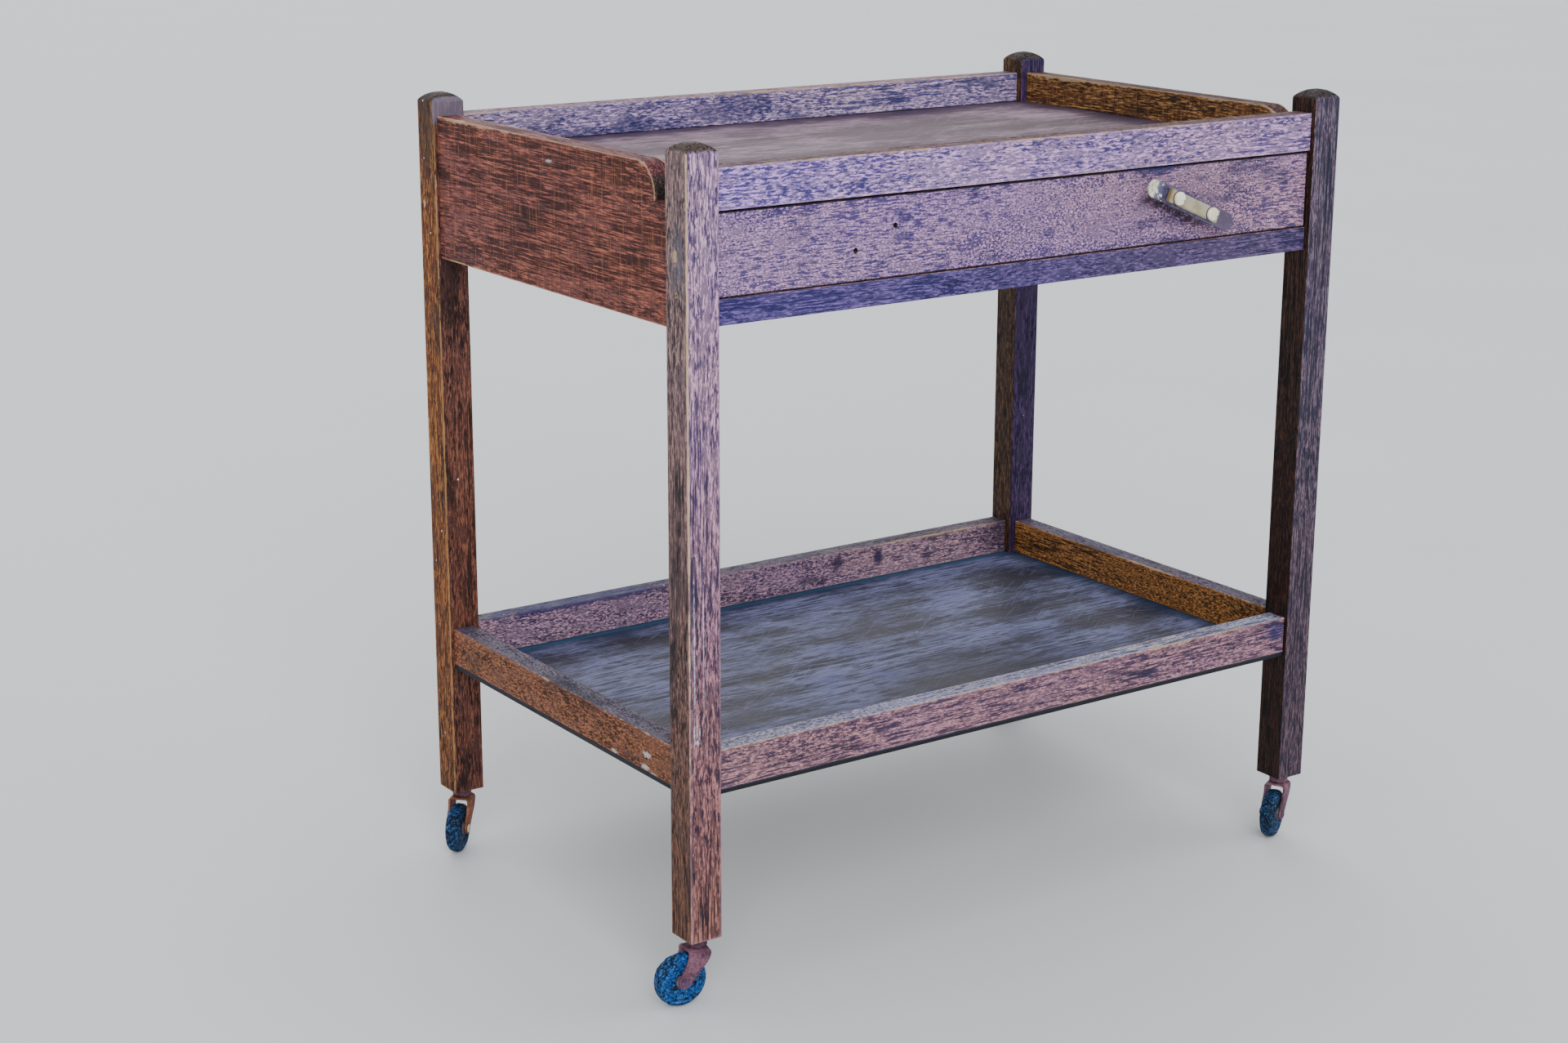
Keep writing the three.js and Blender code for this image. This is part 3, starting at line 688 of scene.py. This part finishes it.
def rear_left_marks():
    """A chip on the side, a broken pale line down the near arris, dirt on the side below the
    crown, and a paler end of the front face."""
    low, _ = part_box("leg_rl")
    chip = (low.x, 0.2347, 0.6519)
    arris = (low.x, low.y, 0.35)
    dirt_and_gap_shade = (low.x, low.y + 0.016, 0.73)
    paler = (low.x + 0.016, low.y, 0.745)
    return [
        mark(CHIP, 0.85, chip, (0.004, 0.0026, 0.0045), ragged=0.9, ripples=400),
        mark(0xA87C4C, 0.7, arris, (0.0014, 0.0014, 0.5), ragged=1.7, ripples=60),
        mark(0x302620, 0.75, dirt_and_gap_shade, (DEEP, 0.03, 0.09), ragged=0.4, soft=0.9),
        mark(0x7C7284, 0.6, paler, (0.03, 0.006, 0.022), ragged=0.3),
    ]


def back_board_marks():
    """Ink-blue stains on the inner face, one long and low at the left, one in the middle."""
    _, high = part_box("back_board")
    inner = high.y - 0.021
    low_place, low_radii = (-0.2, inner, 0.708), (0.17, DEEP, 0.010)
    middle_place, middle_radii = (-0.02, inner, 0.722), (0.06, DEEP, 0.016)
    return [
        mark(INK_BLUE, 0.6, low_place, low_radii, ragged=1.5, ripples=45, soft=0.7),
        mark(INK_BLUE, 0.5, middle_place, middle_radii, ragged=1.3, ripples=50),
    ]


def left_panel_marks():
    """A pale scuff below the top arris, and bare wood at the rear end of it."""
    low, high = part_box("end_panel_left")
    scuff_place, scuff_radii = (low.x, 0.002, 0.718), (DEEP, 0.007, 0.0018)
    return [
        mark(CHALK, 0.6, scuff_place, scuff_radii, ragged=1.3, ripples=520, soft=0.6),
        mark(WORN, 0.95, (low.x, 0.168, high.z), (0.006, 0.010, 0.0022), ragged=0.4),
    ]


def shelf_rail_marks(side):
    """Dark stains on the front and rear rails, and pale smears near the front of the left one."""
    if side == "front":
        return [mark(INK_BLUE, 0.7, (0.34, -0.22, 0.222), (0.02, 0.02, 0.014), soft=0.8)]
    if side == "back":
        inner = 0.218
        long_place, long_radii = (-0.21, inner, 0.236), (0.13, 0.03, 0.007)
        return [
            mark(INK_BLUE, 0.75, long_place, long_radii, ragged=0.9, ripples=70),
            mark(INK_VIOLET, 0.8, (0.116, inner, 0.222), (0.011, 0.03, 0.013), soft=0.7),
            mark(INK_VIOLET, 0.85, (0.171, inner, 0.222), (0.010, 0.03, 0.015), soft=0.7),
            mark(0x2A2238, 0.7, (0.345, inner, 0.225), (0.045, 0.03, 0.03), soft=0.8),
        ]
    if side == "right":
        return []
    low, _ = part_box("shelf_rail_left")
    smears = []
    for y, z, half_length, half_width in (
        (-0.093, 0.2012, 0.006, 0.0022),
        (-0.1486, 0.2146, 0.008, 0.0032),
        (-0.1456, 0.2022, 0.008, 0.003),
        (-0.159, 0.1985, 0.007, 0.0024),
    ):
        radii = (DEEP, half_length, half_width)
        smear = mark(0xC9BFB8, 0.8, (low.x, y, z), radii, ragged=1.6, ripples=480, soft=0.5)
        smears.append(smear)
    return smears


PULL_SLOPE = math.radians(23)


def drawer_marks():
    """Ink-blue stains, and a painted shadow that follows the pull's lower side."""
    low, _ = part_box("drawer_front")
    marks = []
    for x, z, half_length, half_width in (
        (-0.1337, 0.679, 0.009, 0.013),
        (-0.134, 0.662, 0.013, 0.006),
        (-0.2376, 0.647, 0.008, 0.004),
        (0.16, 0.698, 0.06, 0.006),
        (0.031, 0.65, 0.01, 0.006),
    ):
        place = (x, low.y, z)
        radii = (half_length, DEEP, half_width)
        marks.append(mark(INK_BLUE, 0.6, place, radii, ragged=0.8, ripples=130, soft=0.7))
    # Painted shadow of the pull: a row of dark blots on the drawer front along the strap's lower
    # side.
    pull = sum(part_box("pull_strap"), Vector()) / 2
    below = 0.0105
    for step in (-0.044, -0.03, -0.016, -0.002, 0.012, 0.026):
        x = pull.x + step * math.cos(PULL_SLOPE)
        z = pull.z - step * math.sin(PULL_SLOPE) - below
        radii = (0.012, DEEP, 0.0054)
        marks.append(mark(0x1A0C0E, 0.75, (x, low.y, z), radii, ragged=0.7, soft=0.9))
    return marks


# ---- The cart's wood -----------------------------------
ARRIS = {  # how far the arrises are rounded, in metres
    "leg": 0.0011,
    "end_panel": 0.0011,
    "case_rail": 0.0009,
    "shelf_rail": 0.001,
    "tray_board": 0.0004,
    "shelf_board": 0.0006,
    "runner": 0.0008,
    "drawer_front": 0.0008,
    "drawer_box": 0.0007,
    "caster": 0.0004,
    "post": 0.0004,
    "screw": 0.0002,
}
# Painted shade: the fr, rl and rr legs take darker inks than fl, since the light comes from the
# front left.
LEG_TONES = {  # faces towards -Y, the other upright faces, the top
    "fl": (tones(0x866C84, 0.7), tones(0x6A5456, 0.3), tones(0x3A2C26, 0.3)),
    "fr": (
        (0x786670, 0x42344A, 0x1E2036, 0x181A2C),
        (0x4C3020, 0x241310, 0x0E0A0C, 0x0A080A),
        tones(0x2C2422, 0.3),
    ),
    "rl": (
        tones(0x58362E),
        (0xB87836, 0x602C08, 0x241006, 0x180C06),
        tones(0x34281F, 0.3),
    ),
    "rr": (
        tones(0x342444, 0.6),
        (0x72502A, 0x3A241A, 0x181012, 0x120C0E),
        tones(0x302824, 0.3),
    ),
}
LEG_WEAR = {"fl": 1.0, "fr": 0.35, "rl": 0.7, "rr": 0.4}
BROWN_FOOT = {"fl": 0.95, "fr": 0.6, "rl": 0.45, "rr": 0.3}


def finish_legs():
    marks = {"fl": front_left_marks, "rl": rear_left_marks}
    for index, corner in enumerate(CORNERS):
        node = f"leg_{corner}"
        soften(node, ARRIS["leg"])
        paint(node, wood(
            node, 3 + index * 5, 2, leg_edge(node), *LEG_TONES[corner],
            flecks=(85, 520),
            wear=LEG_WEAR[corner],
            marks=marks[corner]() if corner in marks else (),
            extra=browner_below(BROWN_FOOT[corner], corner == "rl"),
        ))


def finish_case():
    for node in ("top_rail", "drawer_rail", "back_board"):
        soften(node, ARRIS["case_rail"])
    paint("top_rail", wood(
        "top_rail", 31, 0, box_edge("top_rail", (1, 2)),
        tones(0x887299, 1),
        SHADED,
        tones(0x50343C),
        wear=1.7,
        extra=warmer_right,
    ))
    # Painted shade: the drawer rail's front ink is a darker, bluer copy of the top rail's.
    paint("drawer_rail", wood(
        "drawer_rail", 38, 0, box_edge("drawer_rail", (1, 2)),
        tones(0x473C6A, 1),
        SHADED,
        wear=0.4,
        stains=0.9,
        extra=much_warmer_right,
    ))
    paint("back_board", wood(
        "back_board", 45, 0, box_edge("back_board", (1, 2)),
        tones(0x8A7A8E, 1),
        wear=1.5,
        marks=back_board_marks(),
    ))


def finish_panels():
    for side, seed, upright, top, marks, extra in (
        ("left", 57, tones(0x6E3C34), tones(0x6A343A), left_panel_marks(), cross_scratches),
        ("right", 60, OCHRE, tones(0x4C2E2C), (), scratched_and_duller),
    ):
        node = f"end_panel_{side}"
        soften(node, ARRIS["end_panel"])
        # Painted shade: the faces towards -Y, round the quarter curve and in the notch, take a dark
        # grey ink.
        paint(node, wood(
            node, seed, 1, panel_edge(node), tones(0x322C2C), upright, top,
            flecks=(70, 620),
            dark_share=0.52,
            stains=0.5,
            wear=2.1,
            figure=(9, 85),
            marks=marks,
            extra=extra,
        ))


def finish_shelf():
    pale_top = tones(0x807E90, 0.6)
    dull_top = tones(0x4C4250, 0.6)
    butted_end = tones(0x5A3A30)
    along_x, along_y = (0, (1, 2)), (1, (0, 2))
    # The rails' faces towards -Y take mauve inks as a painted reflection of the sky.
    sky_sheen, mauve = tones(0x73565C, 0.8), tones(0x806672, 0.6)
    orange, dim = tones(0x6A402C), (0xC68A48, 0x6C4420, 0x2A180C, 0x1C1008)
    for side, seed, (axis, across), front, upright, top, extra in (
        ("front", 71, along_x, sky_sheen, butted_end, pale_top, None),
        ("back", 77, along_x, mauve, butted_end, dull_top, None),
        ("left", 83, along_y, orange, orange, dull_top, None),
        ("right", 89, along_y, dim, dim, dull_top, duller_outside),
    ):
        node = f"shelf_rail_{side}"
        soften(node, ARRIS["shelf_rail"])
        paint(node, wood(
            node, seed, axis, box_edge(node, across), front, upright, top,
            flecks=(200, 680),
            wear=1.4,
            marks=shelf_rail_marks(side),
            extra=extra,
        ))


def finish_boards():
    """The boards' four tints are their light, middle and dark wood and the dirt at the rim."""
    soften("tray_board", ARRIS["tray_board"])
    tints = (0x9E8290, 0x4A323A, 0x28181E, 0x34283C)
    shade = (-0.2, -0.13, 0.69)
    paint("tray_board", tray("tray_board", 7, tints, 0.036, shade))
    soften("shelf_board", ARRIS["shelf_board"])
    tints = (0x74789C, 0x24222E, 0x0E0C14, 0x1C3550)
    shade = (0.08, -0.12, 0.19)
    paint("shelf_board", tray("shelf_board", 19, tints, 0.038, shade, strip=0x2E5C7C))


def finish_drawer():
    soften("drawer_front", ARRIS["drawer_front"])
    paint("drawer_front", wood(
        "drawer_front", 41, 0, box_edge("drawer_front", (0, 2)),
        tones(0x7E6684, 1),
        SHADED,
        SHADED,
        flecks=(330, 620),
        wear=0.35,
        marks=drawer_marks(),
        extra=gap_shade_lines,
    ))


def finish_hidden_wood():
    """The runners, the guides and the drawer's box, with the axis that each one's grain follows."""
    for node, seed, axis, width in (
        ("drawer_runner_left", 91, 1, "runner"),
        ("drawer_guide_left", 91, 1, "runner"),
        ("drawer_runner_right", 92, 1, "runner"),
        ("drawer_guide_right", 92, 1, "runner"),
        ("drawer_side_left", 101, 1, "drawer_box"),
        ("drawer_side_right", 102, 1, "drawer_box"),
        ("drawer_back", 103, 0, "drawer_box"),
        ("drawer_bottom", 104, 0, "drawer_box"),
    ):
        soften(node, ARRIS[width])
        paint(node, bare_wood(node, seed, axis))


# ---- Pieces in mesh code -------------------------------
def stand_for(piece, node):
    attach(piece, frame["nodes"][node]["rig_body"])
    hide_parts(node)


def make_piece(name, shape, material):
    """Smooth faces with sharp arrises where the surface turns by more than 40 degrees."""
    bmesh.ops.remove_doubles(shape, verts=shape.verts, dist=1e-6)
    bmesh.ops.recalc_face_normals(shape, faces=shape.faces)
    for face in shape.faces:
        face.smooth = True
    for edge in shape.edges:
        if len(edge.link_faces) == 2 and edge.calc_face_angle() > math.radians(40):
            edge.smooth = False
    mesh = bpy.data.meshes.new(name)
    shape.to_mesh(mesh)
    shape.free()
    mesh.materials.append(material)
    piece = bpy.data.objects.new(name, mesh)
    bpy.context.scene.collection.objects.link(piece)
    return piece


def rounded(points, radius, closed, steps=4):
    """A profile with its corners eased by short curves."""
    made = []
    count = len(points)
    for index, point in enumerate(points):
        if not closed and index in (0, count - 1):
            made.append(Vector(point))
            continue
        corner = Vector(point)
        ends = []
        for other in (points[index - 1], points[(index + 1) % count]):
            leg = Vector(other) - corner
            ends.append(corner + leg.normalized() * min(radius, leg.length * 0.45))
        for step in range(steps + 1):
            t = step / steps
            made.append(ends[0] * (1 - t) ** 2 + corner * 2 * t * (1 - t) + ends[1] * t ** 2)
    return made


def turned(name, profile, centre, axis, material, closed=False, segments=80, warp=None):
    """A piece turned about an axis through centre, from a profile of (radius, distance along)."""
    axis = Vector(axis).normalized()
    side = axis.orthogonal().normalized()
    other = axis.cross(side)
    shape = bmesh.new()
    rings = []
    for index in range(segments):
        angle = 2 * math.pi * index / segments
        spoke = side * math.cos(angle) + other * math.sin(angle)
        ring = []
        for radius, along in profile:
            point = centre + spoke * radius + axis * along
            if warp and radius > 0:
                point += warp(point, spoke, axis, radius, along)
            ring.append(shape.verts.new(point))
        rings.append(ring)
    count = len(profile)
    for index, ring in enumerate(rings):
        following = rings[(index + 1) % segments]
        for step in range(count if closed else count - 1):
            after = (step + 1) % count
            corners = (ring[step], ring[after], following[after], following[step])
            shape.faces.new(corners)
    bmesh.ops.remove_doubles(shape, verts=shape.verts, dist=1e-6)
    return make_piece(name, shape, material)


def plate(name, outline, layers, place, material):
    """A thin piece with rounded arrises: rings of the outline, each (inset, height), stacked."""
    shape = bmesh.new()
    rings = []
    for inset_by, height in layers:
        points = [place @ Vector((x, y, height)) for x, y in outline(inset_by)]
        rings.append([shape.verts.new(point) for point in points])
    for lower, upper in zip(rings, rings[1:]):
        for index in range(len(lower)):
            after = (index + 1) % len(lower)
            shape.faces.new((lower[index], lower[after], upper[after], upper[index]))
    shape.faces.new(list(reversed(rings[0])))
    shape.faces.new(rings[-1])
    return make_piece(name, shape, material)


# ---- The pull ------------------------------------------
def stadium(half_length, radius, steps=18):
    """The outline of a strap with round ends, drawn in by a given inset."""
    def outline(inset_by):
        points = []
        for end in (1, -1):
            for step in range(steps + 1):
                angle = math.pi * (step / steps - 0.5)
                reach = radius - inset_by
                x = (half_length - radius) + reach * math.cos(angle)
                points.append((end * x, end * reach * math.sin(angle)))
        return points

    return outline


def oblong(half_length, half_width, corner, steps=5):
    """A rectangle with eased corners, drawn in by a given inset."""
    def outline(inset_by):
        points = []
        radius = max(corner - inset_by, 0.0002)
        for x, y, start in ((1, 1, 0), (-1, 1, 90), (-1, -1, 180), (1, -1, 270)):
            reach = inset_by + radius
            middle = Vector((x * (half_length - reach), y * (half_width - reach)))
            for step in range(steps + 1):
                angle = math.radians(start + 90 * step / steps)
                points.append(middle + radius * Vector((math.cos(angle), math.sin(angle))))
        return points

    return outline


OUT = Vector((0, -1, 0))  # the way the drawer's front faces
STRAP_WIDTH = 0.017
BAR_WIDTH = 0.0128
BAR_CORNER = 0.0012
CAP_RADIUS = 0.0063
CAP_RIM = 0.42  # the share of a cap's height below its dome
CAP_ROUND = 0.8  # how full the dome is; 1 is an ellipse
CAP_STEPS = 10


def plate_place(node, middle, turn):
    """From the middle of the pull, on the node's back face: X down the slope, Z outwards."""
    _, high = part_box(node)
    return Matrix.Translation((middle.x, high.y, middle.z)) @ turn


def finish_strap(middle, along, turn):
    low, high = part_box("pull_strap")
    thick = high.y - low.y
    half = ((high.x - low.x) - STRAP_WIDTH) / abs(along.x) / 2 + STRAP_WIDTH / 2
    layers = [
        (0.0004, 0),
        (0, thick * 0.25),
        (0, thick * 0.6),
        (0.0003, thick * 0.9),
        (0.0009, thick),
        (0.0022, thick * 0.96),
        (0.0032, thick * 0.82),
    ]
    strap = plate(
        "strap",
        stadium(half, STRAP_WIDTH / 2),
        layers,
        plate_place("pull_strap", middle, turn),
        chrome_strap(middle, along, half),
    )
    stand_for(strap, "pull_strap")


def finish_bar(caps, middle, along, turn):
    low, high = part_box("pull_bar")
    thick = high.y - low.y
    half = ((high.x - low.x) - BAR_WIDTH * abs(along.z)) / abs(along.x) / 2
    layers = [
        (0.0003, 0),
        (0, 0.0003),
        (0, thick * 0.62),
        (0.0004, thick * 0.82),
        (0.0011, thick * 0.94),
        (0.0022, thick),
        (0.0035, thick),
    ]
    bar = plate(
        "bar",
        oblong(half, BAR_WIDTH / 2, BAR_CORNER),
        layers,
        plate_place("pull_bar", middle, turn),
        bar_plastic(middle, along, half, caps, CAP_RADIUS),
    )
    stand_for(bar, "pull_bar")


def finish_cap(index, middle):
    node = f"pull_cap_{index}"
    low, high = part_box(node)
    radius = (high.z - low.z) / 2
    height = high.y - low.y
    dome = [(0, 0), (radius * 0.9, 0), (radius, height * 0.08), (radius, height * CAP_RIM)]
    for step in range(1, CAP_STEPS + 1):
        angle = math.pi / 2 * step / CAP_STEPS
        rise = height * (CAP_RIM + (1 - CAP_RIM) * math.sin(angle))
        spread = radius * math.cos(angle) ** CAP_ROUND if step < CAP_STEPS else 0
        dome.append((spread, rise))
    centre = Vector((middle.x, high.y, middle.z))
    stain = centre + Vector((0.0035, -height * 0.7, -0.0022))
    plastic = cap_plastic(f"cap_{index}", 7 + index, stain)
    cap = turned(f"cap_{index}", dome, centre, OUT, plastic, segments=64)
    stand_for(cap, node)


def finish_pull():
    caps = [sum(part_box(f"pull_cap_{index}"), Vector()) / 2 for index in (1, 2)]
    middle = (caps[0] + caps[1]) / 2
    along = (caps[1] - caps[0]).normalized()
    turn = Matrix((along, OUT.cross(along), OUT)).transposed().to_4x4()
    finish_strap(middle, along, turn)
    finish_bar(caps, middle, along, turn)
    for index in (1, 2):
        finish_cap(index, caps[index - 1])
        post = f"pull_post_{index}"
        soften(post, ARRIS["post"], 2)
        paint(post, chrome(post, 3))
        screw = f"pull_screw_{index}"
        soften(screw, ARRIS["screw"], 2)
        paint(screw, rusted(screw, 9))


# ---- Casters -------------------------------------------
WHEEL_RADIUS = 0.0245
WHEEL_FACE = [  # radius, distance from the wheel's middle plane; two moulded rings
    (0.0073, 0.0062), (0.0134, 0.0058), (0.0143, 0.0072), (0.0163, 0.0073), (0.0172, 0.0062),
    (0.0186, 0.0061), (0.0198, 0.0068), (0.0216, 0.0064), (0.0233, 0.0052), (0.0242, 0.0034),
    (0.0245, 0.0012),
]
RUBBER_BLUE = (0x010A16, 0x084688, 0x68A8DC)  # dark, middle and dusty
RUBBER_NAVY = (0x02060E, 0x0A3058, 0x5C88B0)
RUBBER_TINTS = {"fl": RUBBER_BLUE, "fr": RUBBER_NAVY, "rl": RUBBER_NAVY, "rr": RUBBER_NAVY}
RUST_TINTS = {  # light, middle and dark
    "socket": (0x84586A, 0x4C2F3E, 0x221420),
    "stem": (0x7A5464, 0x452C3A, 0x1E121C),
    "fork": (0x84586A, 0x4C2F3E, 0x221420),
    ("fork", "rl"): (0x9A5C3C, 0x5E3426, 0x28140E),
    "axle": (0x644664, 0x38263E, 0x1A0E1C),
    ("axle", "rl"): (0xD8CDB0, 0xC4B48E, 0x7A5A3C),
    "hub": (0x5C5660, 0x34303A, 0x16141A),
}


def worn_rubber(point, spoke, axis, radius, along):
    """Chips out of the tread's shoulders and a rough skin. It only takes material away."""
    rough = noise.fractal(point * 260, 0.9, 2.0, 4) + 0.9
    bite = max(0.0, noise.noise(point * 95 + Vector((7, 3, 1))) - 0.12)
    shoulder = max(0.0, (radius - 0.0185) / 0.006)
    inwards = 0.00025 * rough + 0.0026 * bite * shoulder
    return -spoke * inwards - axis * math.copysign(0.0002 * rough, along)


def finish_caster(corner, seed):
    name = f"caster_{corner}"
    low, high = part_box(f"{name}_tyre")
    hub_centre = (low + high) / 2
    axle = Vector(JOINTS[f"{name}_roll"]["axis"]).normalized()
    scale = (high.z - low.z) / 2 / WHEEL_RADIUS
    half = [Vector((radius, along)) * scale for radius, along in WHEEL_FACE]
    profile = [Vector((radius, -along)) for radius, along in half] + half[::-1]
    tyre = turned(
        f"tyre_{corner}",
        rounded(profile, 0.0006, True, 3),
        hub_centre,
        axle,
        rubber(f"tyre_{corner}", seed, RUBBER_TINTS[corner]),
        closed=True,
        segments=120,
        warp=worn_rubber,
    )
    stand_for(tyre, f"{name}_tyre")

    for part in ("socket", "stem", "fork", "axle", "hub"):
        node = f"{name}_{part}"
        soften(node, ARRIS["caster"], 2)
        paint(node, rusted(node, seed, *RUST_TINTS.get((part, corner), RUST_TINTS[part])))


def finish_casters():
    for index, corner in enumerate(CORNERS):
        finish_caster(corner, 11 + index * 3)


# ---- Stage ---------------------------------------------
FLOOR_RADIUS = 14
AIM = (0, 0, 0.4)  # the lights point here, about the cart's middle
SKY = (0.86, 0.9, 1.0, 1)
SKY_STRENGTH = 0.85
LIGHTS = (  # name, where it shines from, spread in degrees, strength, colour
    ("key", (-1.3, -2.6, 2.1), 40, 2.3, (0.86, 0.91, 1.0)),
    ("fill", (2.6, -1.5, 1.5), 35, 0.45, (0.95, 0.97, 1.0)),
    ("above", (0.2, 0.5, 2.8), 50, 0.6, (0.95, 0.97, 1.0)),
    ("behind", (1.2, 3.0, 1.7), 35, 0.6, (1.0, 0.97, 0.93)),
)


def make_floor():
    s = Shader("pale_floor")
    cloud = s.even(1.5, detail=4)
    colour = s.mix(cloud, ink(0xD9D8D4), ink(0xE2E1DD))
    material = s.finish(colour, s.total((0.2, cloud), (0.6, 1.0)))
    mesh = bpy.data.meshes.new("floor")
    shape = bmesh.new()
    bmesh.ops.create_circle(shape, cap_ends=True, segments=96, radius=FLOOR_RADIUS)
    shape.to_mesh(mesh)
    shape.free()
    mesh.materials.append(material)
    floor = bpy.data.objects.new("floor", mesh)
    bpy.context.scene.collection.objects.link(floor)


def soft_light(name, place, spread, strength, colour):
    """A broad even light that shines from the side of place."""
    data = bpy.data.lights.new(name, "SUN")
    data.angle = math.radians(spread)
    data.energy = strength
    data.color = colour
    lamp = bpy.data.objects.new(name, data)
    lamp.location = place
    aim = Vector(AIM) - Vector(place)
    lamp.rotation_euler = aim.to_track_quat("-Z", "Y").to_euler()
    bpy.context.scene.collection.objects.link(lamp)


def light_stage():
    world = bpy.data.worlds.new("studio")
    world.use_nodes = True
    background = world.node_tree.nodes["Background"]
    background.inputs["Color"].default_value = SKY
    background.inputs["Strength"].default_value = SKY_STRENGTH
    bpy.context.scene.world = world
    for light in LIGHTS:
        soft_light(*light)


make_camera()
finish_legs()
finish_case()
finish_panels()
finish_shelf()
finish_boards()
finish_drawer()
finish_hidden_wood()
finish_pull()
finish_casters()
make_floor()
light_stage()
